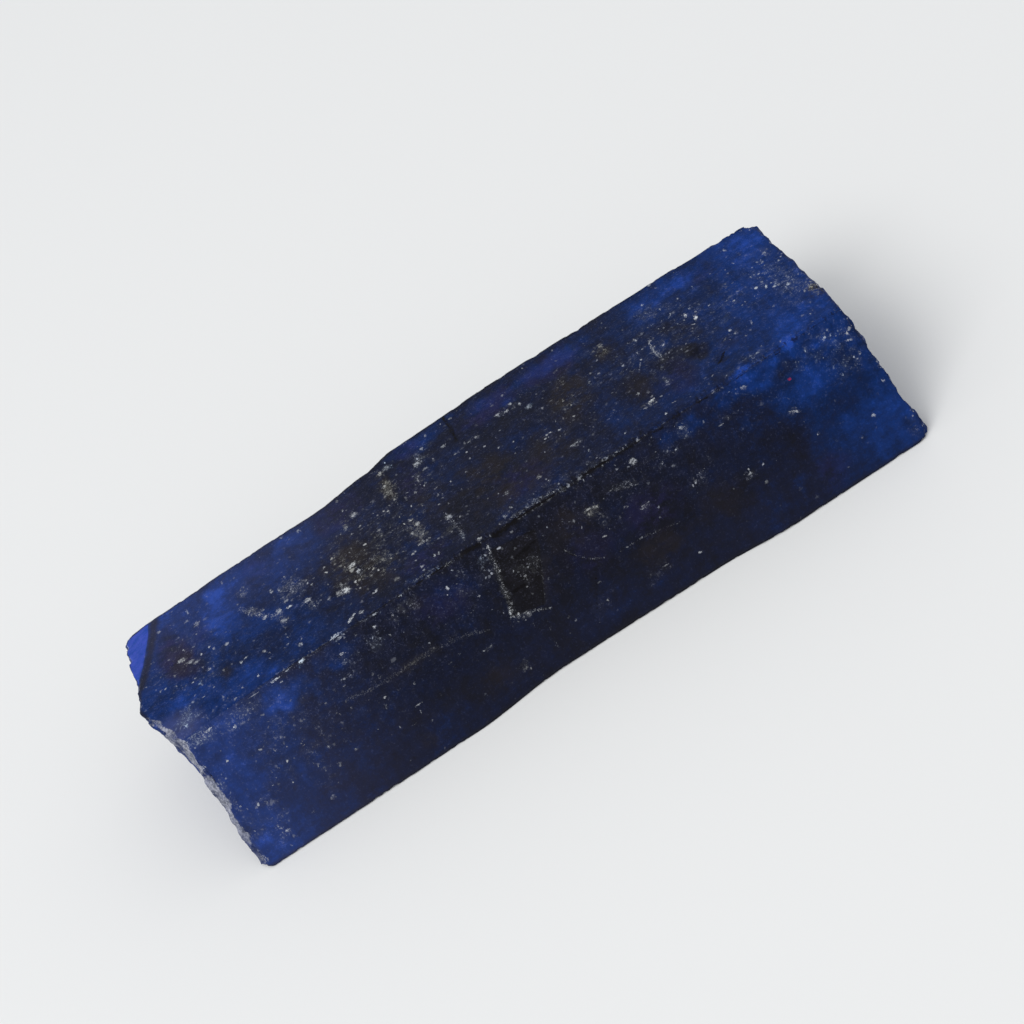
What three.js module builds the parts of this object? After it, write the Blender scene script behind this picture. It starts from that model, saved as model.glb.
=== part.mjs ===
// Rough sapphire: one long bar of dark blue corundum, broken off at both ends
// and lying on its flattest side. Millimetres, +X along the bar, +Z up. The steep
// side that ends in the sharp ridge faces -Y, and the origin is under the middle.

import * as THREE from 'three';
import { ImprovedNoise } from 'three/addons/math/ImprovedNoise.js';

// The bar. Until it is centred at the end, the ridge lies along y = 0.
const HALF_LENGTH = 40;
const HALF_WIDTH = 13.5;
const RIDGE_HEIGHT = 15; // from the resting face up to the ridge
const TOP_FALL = 0.8; // how far the top face drops from the ridge to the far edge
const FAR_LEAN = 2.4; // how far the far side leans in towards its foot
const EDGE_RADIUS = 0.8; // wear along the long edges and round the ends

// Distances from the ridge line, as [place along the bar, distance]
const NEAR_FOOT_RUN = [[-40, 7.8], [-14, 7.6], [-3, 6.5], [15, 6.7], [24, 7.4], [40, 7.3]];
const TOP_WIDTH = [[-40, 19.45], [-16, 19.7], [-9.5, 20.6], [-6, 21.6], [6, 21.9], [24, 21.55], [40, 21.4]];

// How far the ends reach from the middle at the top, as [distance behind the ridge, reach]
const LEFT_REACH = [
  [-1, 39.1], [0, 39.5], [2, 40.7], [5, 41.9], [7, 42.4], [9, 42], [11, 41.7], [14, 41.7], [20, 41.5],
];
const RIGHT_REACH = [[-2, 40.2], [8, 40.1], [13, 39.9], [20, 39.7]];
// The left end draws in to this reach towards the base, the quicker the greater the power.
const LEFT_BASE_REACH = 39.95;
const LEFT_DRAW_IN = 3;
// The right end slants out, by this many millimetres of length for each millimetre down.
const RIGHT_SLANT = 0.1;

// Flats where pieces broke off: a point on the break, and the way that it faces
const BREAKS = [
  { name: 'left far corner', at: [-41.35, 18, 13], facing: [-0.97, 0.24, 0.05] },
  { name: 'left near foot', at: [-39.8, -7.3, 1], facing: [-0.55, -0.8, -0.25] },
  { name: 'left far foot', at: [-38.2, 15.5, 2.5], facing: [-0.66, 0.56, -0.5] },
  { name: 'right near foot', at: [41.1, -6.7, 1], facing: [0.7, -0.7, -0.1] },
  { name: 'right far corner', at: [39.2, 20.4, 14], facing: [0.66, 0.74, 0.1] },
  { name: 'right far foot', at: [34, 18.6, 3.5], facing: [0.38, 0.72, -0.58] },
  { name: 'right end flake', at: [41.2, 10, 4], facing: [0.96, 0.12, -0.24] },
  { name: 'far side flake', at: [16, 21, 7.5], facing: [0.07, 0.98, -0.18] },
  { name: 'far side bevel', at: [-14, 18.4, 4.4], facing: [-0.05, 0.8, -0.6] },
  { name: 'left ridge bevel', at: [-27, 0, 15], facing: [-0.04, -0.1, 0.99] },
  { name: 'left near edge', at: [-39.1, -3.9, 7.5], facing: [-0.77, -0.57, 0.3] },
  { name: 'left far tip', at: [-37.6, 19.6, 14.25], facing: [-0.14, 0.11, 0.985] },
];

// Roughness of the broken surface: height and width of the waves, and a seed for each
const BROAD_WAVE = { height: 0.14, width: 11, seed: 0 };
const FINE_WAVE = { height: 0.08, width: 3.2, seed: 20 };
const END_WAVE = { height: 0.22, width: 2.8, seed: 60 };
// Hollows in the resting face, where the wave rises above the share that stays flat
const BASE_HOLLOW = { height: 1.1, width: 9, seed: 40, flatShare: 0.12 };
// A point belongs to the resting face if it faces further down than this.
const RESTING_FACING = -0.7;

// Rows of facets along, across and up the bar, and how much they crowd at its edges
const ROWS = { along: 58, across: 16, up: 12 };
const CROWDING = 0.45;

const COLOUR = 0x14256b;

const noise = new ImprovedNoise();
const { lerp, clamp, smoothstep } = THREE.MathUtils;

// Reads a value between the listed places, easing from one to the next.
function readAlong(list, x) {
  const next = list.findIndex(([place]) => place >= x);
  if (next === 0) return list[0][1];
  if (next < 0) return list[list.length - 1][1];
  const [fromPlace, from] = list[next - 1];
  const [toPlace, to] = list[next];
  return lerp(from, to, smoothstep(x, fromPlace, toPlace));
}

function wave(point, { height, width, seed }) {
  return height * noise.noise(point.x / width + seed, point.y / width, point.z / width);
}

// Moves rows of facets closer together near the edges of a -1 to 1 span.
function crowd(t) {
  return (1 - CROWDING) * t + CROWDING * Math.sin((t * Math.PI) / 2);
}

// Rounds the block's edges, and gives the way that the surface faces there.
function roundBlock(point, half) {
  const inner = new THREE.Vector3(
    clamp(point.x, -half.x + EDGE_RADIUS, half.x - EDGE_RADIUS),
    clamp(point.y, -half.y + EDGE_RADIUS, half.y - EDGE_RADIUS),
    clamp(point.z, -half.z + EDGE_RADIUS, half.z - EDGE_RADIUS),
  );
  const facing = point.clone().sub(inner).normalize();
  point.copy(inner).addScaledVector(facing, EDGE_RADIUS);
  return facing;
}

// How far the bar reaches to the left or right at this place in its section.
function reach(goesLeft, y, z) {
  if (goesLeft) {
    return lerp(LEFT_BASE_REACH, readAlong(LEFT_REACH, y), (z / RIDGE_HEIGHT) ** LEFT_DRAW_IN);
  }
  return readAlong(RIGHT_REACH, y) + RIGHT_SLANT * (RIDGE_HEIGHT - z);
}

// Leans a straight block onto the stone's four long edges and two ends.
function leanBlock(point, half) {
  const across = (point.y / half.y + 1) / 2;
  const up = (point.z / half.z + 1) / 2;
  const topWidth = readAlong(TOP_WIDTH, point.x);
  const nearY = lerp(-readAlong(NEAR_FOOT_RUN, point.x), 0, up);
  const farY = lerp(topWidth - FAR_LEAN, topWidth, up);
  point.y = lerp(nearY, farY, across);
  point.z = up * (RIDGE_HEIGHT - TOP_FALL * across);
  point.x *= reach(point.x < 0, point.y, point.z) / half.x;
}

// Presses everything outside a break back onto its flat.
function breakOff(point, { at, facing }) {
  const normal = new THREE.Vector3(...facing).normalize();
  const outside = point.clone().sub(new THREE.Vector3(...at)).dot(normal);
  if (outside > 0) point.addScaledVector(normal, -outside);
}

// Gives the broken sides their waves. The resting face keeps its flat, with hollows in it.
function roughen(point, facing) {
  if (facing.z < RESTING_FACING) {
    point.z += Math.max(0, wave(point, BASE_HOLLOW) - BASE_HOLLOW.flatShare);
    return;
  }
  const onSides = wave(point, BROAD_WAVE) + wave(point, FINE_WAVE);
  const onEnds = Math.abs(facing.x) * wave(point, END_WAVE);
  point.addScaledVector(facing, onSides + onEnds);
  point.z = Math.max(point.z, 0);
}

function makeStone() {
  const half = new THREE.Vector3(HALF_LENGTH, HALF_WIDTH, RIDGE_HEIGHT / 2);
  const geometry = new THREE.BoxGeometry(2, 2, 2, ROWS.along, ROWS.across, ROWS.up);
  const places = geometry.attributes.position;
  const point = new THREE.Vector3();
  for (let i = 0; i < places.count; i += 1) {
    point.fromBufferAttribute(places, i);
    point.set(crowd(point.x), crowd(point.y), crowd(point.z)).multiply(half);
    const facing = roundBlock(point, half);
    leanBlock(point, half);
    BREAKS.forEach((piece) => breakOff(point, piece));
    roughen(point, facing);
    places.setXYZ(i, point.x, point.y, point.z);
  }
  geometry.computeBoundingBox();
  const middle = geometry.boundingBox.getCenter(new THREE.Vector3());
  geometry.translate(-middle.x, -middle.y, -geometry.boundingBox.min.z);
  geometry.computeVertexNormals();
  return geometry;
}

const sapphire = new THREE.Mesh(
  makeStone(),
  new THREE.MeshStandardMaterial({ color: COLOUR, roughness: 0.55, metalness: 0 }),
);
sapphire.name = 'sapphire';

const roughSapphire = new THREE.Group();
roughSapphire.add(sapphire);

export default roughSapphire;
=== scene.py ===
import math

import bpy
import numpy as np
from bpy.props import FloatProperty, FloatVectorProperty, PointerProperty
from mathutils import Matrix, Vector, noise


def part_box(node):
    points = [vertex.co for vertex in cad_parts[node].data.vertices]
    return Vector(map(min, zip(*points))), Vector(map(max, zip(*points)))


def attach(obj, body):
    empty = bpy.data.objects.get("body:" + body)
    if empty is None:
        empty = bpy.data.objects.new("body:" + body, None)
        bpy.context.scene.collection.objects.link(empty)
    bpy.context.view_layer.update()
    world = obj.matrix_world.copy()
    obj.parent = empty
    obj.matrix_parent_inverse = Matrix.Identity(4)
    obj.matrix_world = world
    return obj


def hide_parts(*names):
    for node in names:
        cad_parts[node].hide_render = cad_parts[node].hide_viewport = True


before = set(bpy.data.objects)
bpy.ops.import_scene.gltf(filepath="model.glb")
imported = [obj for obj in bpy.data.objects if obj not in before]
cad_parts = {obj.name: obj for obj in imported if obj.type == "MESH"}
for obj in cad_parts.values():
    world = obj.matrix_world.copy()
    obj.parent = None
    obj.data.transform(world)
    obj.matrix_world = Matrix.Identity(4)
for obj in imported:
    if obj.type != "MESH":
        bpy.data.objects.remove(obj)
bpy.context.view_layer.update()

bl_info = {
    "name": "Rough Sapphire",
    "version": (1, 0, 0),
    "blender": (4, 5, 0),
    "location": "3D View > Sidebar > Sapphire",
    "description": "Cuts one rough sapphire bar with its chips, breaks and dust, on a plain floor",
    "category": "Add Mesh",
}

MM = 0.001
RANDOM_SEED = 21
# Farther away than anything on the stone, and a length that is as good as none
FAR_AWAY = 1000.0
TINY = 1e-9

# ----- The bar, in millimetres. The ridge lies along y = 0 until the bar is placed. -----
HALF_LENGTH = 40
HALF_WIDTH = 13.5
RIDGE_HEIGHT = 15
# How much lower the far edge of the top is, and how far that edge stands out over its foot
TOP_FALL = 0.8
FAR_LEAN = 2.4
# The middle of the bar's outline, which is laid over the middle of the frame's stone
BAR_MIDDLE = (-0.065, 7.186)

# Distances from the ridge line, as (place along the bar, distance)
NEAR_FOOT_RUN = ((-40, 7.8), (-14, 7.6), (-3, 6.5), (15, 6.7), (24, 7.4), (40, 7.3))
TOP_WIDTH = ((-40, 19.45), (-16, 19.7), (-9.5, 20.6), (-6, 21.6), (6, 21.9), (24, 21.55), (40, 21.4))

# How far the ends reach from the middle at the top, as (distance behind the ridge, reach)
LEFT_REACH = (
    (-1, 39.1), (0, 39.5), (2, 40.7), (5, 41.9), (7, 42.4), (9, 42), (11, 41.7), (14, 41.7), (20, 41.5),
)
RIGHT_REACH = ((-2, 40.2), (8, 40.1), (13, 39.9), (20, 39.7))
# The left end draws in to this reach towards the base, the quicker the greater the power.
LEFT_BASE_REACH = 39.95
LEFT_DRAW_IN = 3
# The right end slants out, by this many millimetres of length for each millimetre down.
RIGHT_SLANT = 0.1

# Flats where large pieces broke off: a point on the flat, and the way that it faces
BREAKS = {
    "left far corner": ((-41.35, 18, 13), (-0.97, 0.24, 0.05)),
    "left near foot": ((-39.8, -7.3, 1), (-0.55, -0.8, -0.25)),
    "left far foot": ((-38.2, 15.5, 2.5), (-0.66, 0.56, -0.5)),
    "right near foot": ((41.1, -6.7, 1), (0.7, -0.7, -0.1)),
    "right far corner": ((39.2, 20.4, 14), (0.66, 0.74, 0.1)),
    "right far foot": ((34, 18.6, 3.5), (0.38, 0.72, -0.58)),
    "right end flake": ((41.2, 10, 4), (0.96, 0.12, -0.24)),
    "far side flake": ((16, 21, 7.5), (0.07, 0.98, -0.18)),
    "far side bevel": ((-14, 18.4, 4.4), (-0.05, 0.8, -0.6)),
    "left ridge bevel": ((-27, 0, 15), (-0.04, -0.1, 0.99)),
    "left near edge": ((-39.1, -3.9, 7.5), (-0.77, -0.57, 0.3)),
    "left far tip": ((-37.6, 19.6, 14.25), (-0.14, 0.11, 0.985)),
}
# Shell-shaped hollows on the broken ends and the far side: the side, the place across or
# along it, height, width and depth
BREAK_HOLLOWS = (
    ("left", 4.5, 6, 8, 0.9), ("left", 12, 4.5, 8, 0.9), ("left", 13, 7.5, 7, 0.6),
    ("left", -1.5, 4.5, 6, 0.5), ("left", 7, 2.5, 6, 0.5), ("left", 9, 8.5, 4, 0.3),
    ("left", 16, 7, 4, 0.3), ("right", 2.5, 6.6, 13, 1), ("right", 12.5, 7, 12.5, 1.1),
    ("right", 7.5, 1, 10, 0.9), ("right", -3, 4.5, 5, 0.4), ("right", 18, 4.5, 8, 0.6),
    ("right", 5, 10.4, 6, 0.4), ("right", 15, 10.6, 5, 0.35), ("right", -1, 1, 6, 0.5),
    ("far", -30, 7, 13, 0.5), ("far", -19, 3, 8, 0.4), ("far", -6, 10, 10, 0.4), ("far", 7, 4, 11, 0.5),
    ("far", 13, 12, 5, 0.25), ("far", 25, 9, 13, 0.6), ("far", 33, 12, 6, 0.3), ("far", -12, 6, 5, 0.25),
)
# Where the pale lip of each hollow lies, as a share of its depth
LIP_DEPTH = 0.3
# Shell ribs on both ends: where they spread from at the foot, how far apart they are, and
# their height
RIBS_START = {"left": 17, "right": -6}
RIB_SPACING = 0.9 * math.pi
RIB_HEIGHT = 0.09

# Rows of facets along, across and up the bar, how much they crowd towards its edges,
# and the sides that keep every row, where the others keep every second one
ROWS = (350, 100, 80)
CROWDING = (0.2, 0.45, 0.45)
FINE_SIDES = ("near", "top", "left", "right")
SIDES = {"left": (0, 0), "right": (0, 1), "near": (1, 0), "far": (1, 1), "base": (2, 0), "top": (2, 1)}
OUTWARD = {
    "left": (-1, 0, 0), "right": (0.995, 0, 0.1), "near": (0, -0.9, 0.43),
    "far": (0, 0.99, -0.16), "base": (0, 0, -1), "top": (0, 0.04, 1),
}

# Chips along each long edge and round each end: the two sides that meet there, how many,
# and the least and greatest length
EDGE_CHIPS = {
    "ridge": ("near", "top", 60, 0.3, 1.1),
    "far rim": ("far", "top", 70, 0.3, 1.3),
    "near foot": ("near", "base", 50, 0.3, 1.1),
    "far foot": ("far", "base", 60, 0.6, 3),
    "left top rim": ("left", "top", 60, 0.4, 1.7),
    "left near rim": ("left", "near", 55, 0.4, 1.8),
    "left far rim": ("left", "far", 26, 0.5, 2.2),
    "left foot": ("left", "base", 30, 0.6, 2.6),
    "right top rim": ("right", "top", 56, 0.3, 1.4),
    "right near rim": ("right", "near", 44, 0.3, 1.4),
    "right far rim": ("right", "far", 26, 0.5, 1.4),
    "right foot": ("right", "base", 30, 0.6, 2.6),
}
# The least and greatest width of a chip against its length, and depth against its width
CHIP_WIDTH = (0.45, 0.8)
CHIP_DEPTH = (0.18, 0.34)
# How far the ridge is worn back everywhere, how much more where its coarse and its fine
# waves are highest, and how far at most
RIDGE_WEAR = 0.14
RIDGE_COARSE_WEAR = 0.16
RIDGE_FINE_WEAR = 0.05
RIDGE_MOST_WEAR = 0.6

# -----
# What is painted on the top and the near face. A place is given by how far it is
# along the bar, and how far it is from the ridge: above 0 on the top, below 0 down the
# near face. An oval goes on with its length, width, turn in degrees and strength.
# -----

# How blue the faces are along the bar, as (place along the bar, light): the stone's own blue with painted
# light that shines through where the bar is thin, most at the ends
TOP_LIGHT = (
    (-42, 0.66), (-37, 0.64), (-29, 0.6), (-23, 0.55), (-18.5, 0.4), (-13, 0.27), (-5, 0.28), (3, 0.22),
    (11, 0.26), (19, 0.35), (25, 0.43), (30, 0.56), (36, 0.68), (41, 0.68),
)
NEAR_LIGHT = (
    (-42, 0.68), (-36, 0.66), (-31, 0.47), (-26, 0.29), (-20, 0.2), (-13, 0.16), (-5, 0.13), (0, 0.06),
    (8, 0.09), (19, 0.13), (24, 0.22), (29, 0.3), (34, 0.52), (41, 0.6),
)
# Ovals of lighter and darker blue, partly the stone's own tone and partly painted light shining through it,
# and of violet and brown stain
LIGHT_PATCHES = (
    (-38, -14, 5, 4, 0, 0.18), (-37.5, 5, 5, 5, 0, 0.28), (-37, -6, 6, 9, 0, 0.14),
    (-34, -1.5, 9, 3, 0, 0.12), (-30.3, 14, 5, 13, -8, 0.28), (-28, 17, 10, 5, 0, 0.2),
    (-27.4, -2, 9, 6.4, 0, 0.5), (-22.8, -1.4, 8, 3, 0, 0.22), (-21.5, 16, 5, 7, 0, 0.12),
    (-20, 18, 8, 4, 0, 0.18), (-8, -2, 9, 4, 0, 0.1), (-6.3, 3.7, 3.2, 3.8, 0, 0.12),
    (-3, 19.5, 14, 4.4, 0, 0.32), (0.3, -1.5, 4.4, 1.3, 0, 0.2), (4, 19, 9, 5, 0, 0.38),
    (5, -14, 9, 3.4, 0, 0.14), (12, -14, 7, 2.6, 0, 0.08), (14, 18.7, 15, 4.4, 0, 0.3),
    (15, -1.2, 5, 2.2, 0, 0.14), (15.4, 6, 4, 9, 10, 0.16), (20, -1.6, 8, 3, 0, 0.3),
    (22, -0.3, 28, 2, 0, 0.16), (25.5, 18.8, 18, 5, 0, 0.36), (29.5, -1.2, 17, 4, 0, 0.42),
    (30, 16, 5, 4, 0, 0.12), (32, -4.2, 14, 6, 0, 0.26), (35, 3, 11, 6, 0, 0.05), (37, 17, 6, 6, 0, 0.06),
    (37.5, -12, 9, 8, 0, 0.1),
)
SHADE_PATCHES = (
    (-36.5, 11, 6, 11, 10, 0.22), (-35, -10.5, 11, 5, 0, 0.12), (-31.5, 4.4, 8, 4, 0, 0.18),
    (-28.5, 10, 6, 4, 0, 0.1), (-27, 5, 13, 6, 0, 0.15), (-22, 9.5, 8, 6, 0, 0.12),
    (-16, -12, 16, 6, 0, 0.05), (-15, 10, 8, 9, 0, 0.08), (-14, 5, 15, 7, 0, 0.26), (-8, 13, 12, 5, 0, 0.1),
    (-3, 5, 10, 8, 0, 0.22), (2.2, -7, 4, 10, -28, 0.12), (3, 9, 12, 10, 0, 0.05), (7, -7, 6, 4, 0, 0.08),
    (19, 7, 8, 9, 0, 0.1), (19, 9, 5, 6, 0, 0.08), (22.5, 10, 5, 5, 0, 0.1), (24, 6.5, 4.4, 15, 0, 0.18),
    (26.3, 6.8, 2.6, 3.6, 0, 0.22), (27, 10, 6, 6, 0, 0.12), (27, 10.5, 8, 7, 0, 0.1),
    (27.5, 3.6, 2, 1.4, -30, 0.25), (28, -11, 11, 10, -10, 0.14),
)
VIOLET_PATCHES = (
    (-36.3, 11.5, 6, 12, 8, 0.9), (-33, 13, 3, 5, 0, 0.4), (-25, 17, 4, 5, 0, 0.35),
    (-14.5, 17, 8, 6, 0, 0.45), (-10, -3.5, 8, 5, 0, 0.3), (-9, 2.5, 8, 4, 0, 0.4), (-6, 15, 4, 8, 0, 0.4),
    (-5, 20, 6, 3.5, 0, 0.55), (4, 5, 8, 7, 0, 0.45), (5, 18.5, 11, 6, 0, 0.6), (6, -7, 7, 7, 0, 0.2),
    (13, -7, 9, 6, 0, 0.35), (13, 18.5, 10, 6, 0, 0.55), (23, 5, 6, 8, 0, 0.3), (31, -14, 6, 5, 0, 0.3),
    (31, 18, 6, 5, 0, 0.3),
)
BROWN_PATCHES = (
    (-37, 10, 3, 3, 0, 0.4), (-36, 10.5, 5, 8, 10, 0.7), (-32.2, 4.8, 1.4, 2.4, 10, 0.55),
    (-28.5, -9, 5, 6, 0, 0.3), (-18.5, -14.5, 3, 2.6, 0, 0.4), (-16, -6.8, 9, 1.8, 0, 0.4),
    (-15.5, 8.5, 8, 12, 0, 0.9), (-14, 4, 9, 5, 0, 0.7), (-12.5, 2.8, 2.4, 2.4, 0, 0.5),
    (-12, -1.6, 5, 2, 0, 0.35), (-9, -13, 6, 5, 0, 0.4), (-8.5, 16.4, 2.4, 7, 0, 0.8),
    (-8, 7, 3, 6, 0, 0.5), (-5, 10, 6, 8, 0, 0.6), (-1.9, 4.2, 1.2, 2, 0, 0.5), (-0.6, -6, 5.4, 8, 12, 0.5),
    (1.5, 8, 9, 12, -5, 0.65), (3, 4, 10, 6, 0, 0.6), (5.5, -4, 7, 6, 0, 0.5), (7.5, 7, 6, 8, 0, 0.6),
    (9, 6, 5, 5, 0, 0.6), (12, -10.8, 9, 4, 0, 0.5), (12.8, 12.3, 6.4, 11, -12, 0.95),
    (18.3, 15.5, 2.8, 4, 0, 0.8), (19.4, 7.5, 3.4, 6, 0, 0.5), (20, -10, 9, 6, 0, 0.3),
    (29.5, 5, 3.4, 4, 0, 0.35), (39.6, 4.8, 2.2, 4, 0, 1),
)
# Dust ends with its warmth too: -1 is icy blue, 1 is yellowish.
DUST_CLOUDS = (
    (-13, 9.5, 18, 17, 0, 0.28, 0.4), (-5, 14, 11, 14, 0, 0.15, 0.1), (26, 12, 28, 15, 0, 0.3, -0.1),
    (11, 10, 11, 13, 0, 0.15, 0.3), (-29, -7, 15, 15, 0, 0.18, 0.4), (4, 1, 24, 3.4, 0, 0.35, 0),
    (-35, 9, 12, 16, 0, 0.25, 0), (-37, -12, 8, 11, 0, 0.35, 0), (-21, -9, 12, 12, 0, 0.1, 0.4),
    (-38, 2, 4.6, 4.4, 0, 0.8, -0.4), (-34, 1, 9, 3.4, 0, 0.4, 0), (-27.3, 14.7, 1.8, 2, 0, 0.9, 0.3),
    (-26.8, 10.8, 1.6, 5, 25, 0.8, 0.2), (-24.5, 7.7, 1.8, 4.4, 0, 0.6, 0.1),
    (-22.5, 10.5, 5.6, 7, 0, 0.75, 0), (-21, 6.8, 2.2, 3, 0, 0.6, 0.1), (-17.6, 5.5, 2.6, 3.4, 0, 0.9, 0.3),
    (-15, 7.5, 6, 7, 0, 0.5, 0.6), (-16.3, 10.8, 3, 5, 0, 0.55, 0.7), (-12.3, 7.5, 4, 7, 0, 0.7, 0.5),
    (-14.3, 14.8, 1.6, 3, 0, 0.9, 0.6), (-12.9, 15.5, 1.4, 2, 0, 0.8, 0), (-8.4, 16.3, 2, 7.6, 0, 1, 0.6),
    (-7.4, 19.2, 2.2, 1.8, 0, 0.7, -0.3), (-8, 7.3, 2.6, 6.4, 0, 0.8, 0.4), (-5, 15, 3.4, 5.4, 0, 0.55, 0),
    (-4.4, 17, 2.4, 2.4, 0, 0.9, 0), (-3.2, 18.6, 2.8, 1.8, 0, 0.5, -0.1), (-4.5, 6.3, 1.7, 2.2, 0, 0.9, 0),
    (-4.2, 3.2, 1.2, 4.4, 0, 0.6, 0), (1, 15, 4.6, 1.1, 6, 0.7, 0), (6.8, 16.3, 3.8, 1.8, 0, 0.8, 0),
    (8.9, 14.4, 2.2, 2.6, 0, 0.6, -0.7), (1.8, 4.5, 1.4, 1.4, 0, 0.5, 0), (3.6, 0.9, 6, 1, 0, 0.8, 0),
    (12, 11, 4.4, 5.6, 0, 0.4, 0.5), (10.5, 5.2, 2.2, 1.7, 0, 0.6, 0.1), (13, 15.5, 1.8, 2.2, 0, 0.5, 0.3),
    (18.4, 16, 2.2, 3.8, 0, 0.6, 0.7), (22.8, 10.5, 1.1, 4.8, 0, 0.9, 0), (22, 14.2, 1.1, 2.2, 0, 0.7, 0),
    (21.8, 5.5, 1, 2.4, 0, 0.7, 0), (19, 4, 2.6, 1.4, 0, 0.8, 0.2), (25, 17, 5, 5, 0, 0.4, -0.2),
    (29, 12.5, 3.4, 3.4, 0, 0.6, 0), (30.5, 9, 2.8, 4.4, 0, 0.5, -0.3), (30, 6.2, 2.8, 1.8, 0, 0.6, 0.1),
    (33, 13.8, 2.2, 1.8, 0, 0.6, 0.3), (37.4, 9, 4, 2.8, 0, 0.65, -0.1), (37.8, 8.5, 6, 15, 0, 0.5, -0.1),
    (37.5, -3, 9, 8, -20, 0.4, -0.4), (36.8, 4.6, 2.2, 1.4, 0, 0.5, 0.6), (39.5, 4.8, 1.8, 4, 0, 1, 0.9),
    (38.4, 14.5, 1.8, 3.4, 0, 0.6, 0.1), (37, 13, 5.4, 9, 0, 0.4, -0.2), (30, 1, 8, 2.6, 0, 0.5, -0.2),
    (-37, -1.2, 7, 3, 0, 0.85, -0.2), (-33, -1.6, 8, 3.4, 0, 0.5, 0), (-30.5, -5, 3.4, 4.6, 0, 0.35, 0),
    (-32.3, -8, 2.2, 9, 0, 0.35, 0.1), (-29, -10, 3.4, 7, 0, 0.35, 0.4), (-27.2, -8.5, 1.8, 8, 0, 0.4, 0.4),
    (-36, -14.5, 3.4, 2.2, 0, 0.5, 0), (-38.4, -8, 1.2, 9, 0, 0.6, 0), (-21, -3.3, 4.6, 4, 0, 0.35, -0.1),
    (-17.5, -2.5, 3.4, 2.8, 0, 0.45, -0.2), (-14.5, -6.7, 5, 1.1, 0, 0.5, 0.5),
    (-10.3, -6.8, 2.2, 1.2, 0, 0.35, 0.3), (-8.3, -9.9, 2.8, 1, 0, 0.6, 0.1),
    (-6.3, -13.5, 2.2, 2.8, 0, 0.45, 0.5), (-3.7, -1.8, 2.8, 2, 0, 0.6, -0.3),
    (-3.6, -5, 1, 8.6, -13, 0.9, 0.1), (-3.4, -9.1, 4, 1.1, -10, 0.9, 0.2),
    (-0.6, -5.4, 3.4, 4.6, 0, 0.5, 0.2), (8.2, -3.6, 2.8, 1.6, 0, 0.55, 0.5),
    (8.5, -5.5, 1.8, 3.4, 0, 0.45, 0.4), (12.5, -3.2, 5, 1.4, -15, 0.45, 0),
    (17, -3, 5.6, 2.2, 0, 0.35, -0.1), (13, -6.2, 2.8, 1.4, 0, 0.35, 0.1), (20.2, -2, 1.8, 2.8, 0, 0.6, 0),
    (20.8, -5.6, 2.2, 2.2, 0, 0.4, 0), (23.5, -9.5, 2.2, 1.8, 0, 0.4, 0.1), (25, -3.2, 4, 1, 0, 0.6, 0),
    (37, -1.2, 6, 2.6, 0, 0.4, -0.1), (38.8, -4.6, 3.2, 5, 0, 0.45, 0.1),
    (34.5, -2.5, 7, 3.4, 0, 0.3, -0.3), (40.5, -14.8, 1.8, 2.8, 0, 0.3, 0.3),
    (30.8, -6.5, 2.4, 1.6, 0, 0.5, 0.3), (-7, -3, 9, 4, 0, 0.25, -0.1), (-5, 5, 5, 4, 0, 0.5, 0.2),
    (-13, -1.6, 5, 2.6, 0, 0.45, 0), (19, -7, 4.4, 3, 0, 0.25, 0), (11, -13, 5.6, 3, 0, 0.35, 0.2),
    (4, -13, 4.4, 4, 0, 0.2, 0.2),
)
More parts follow.
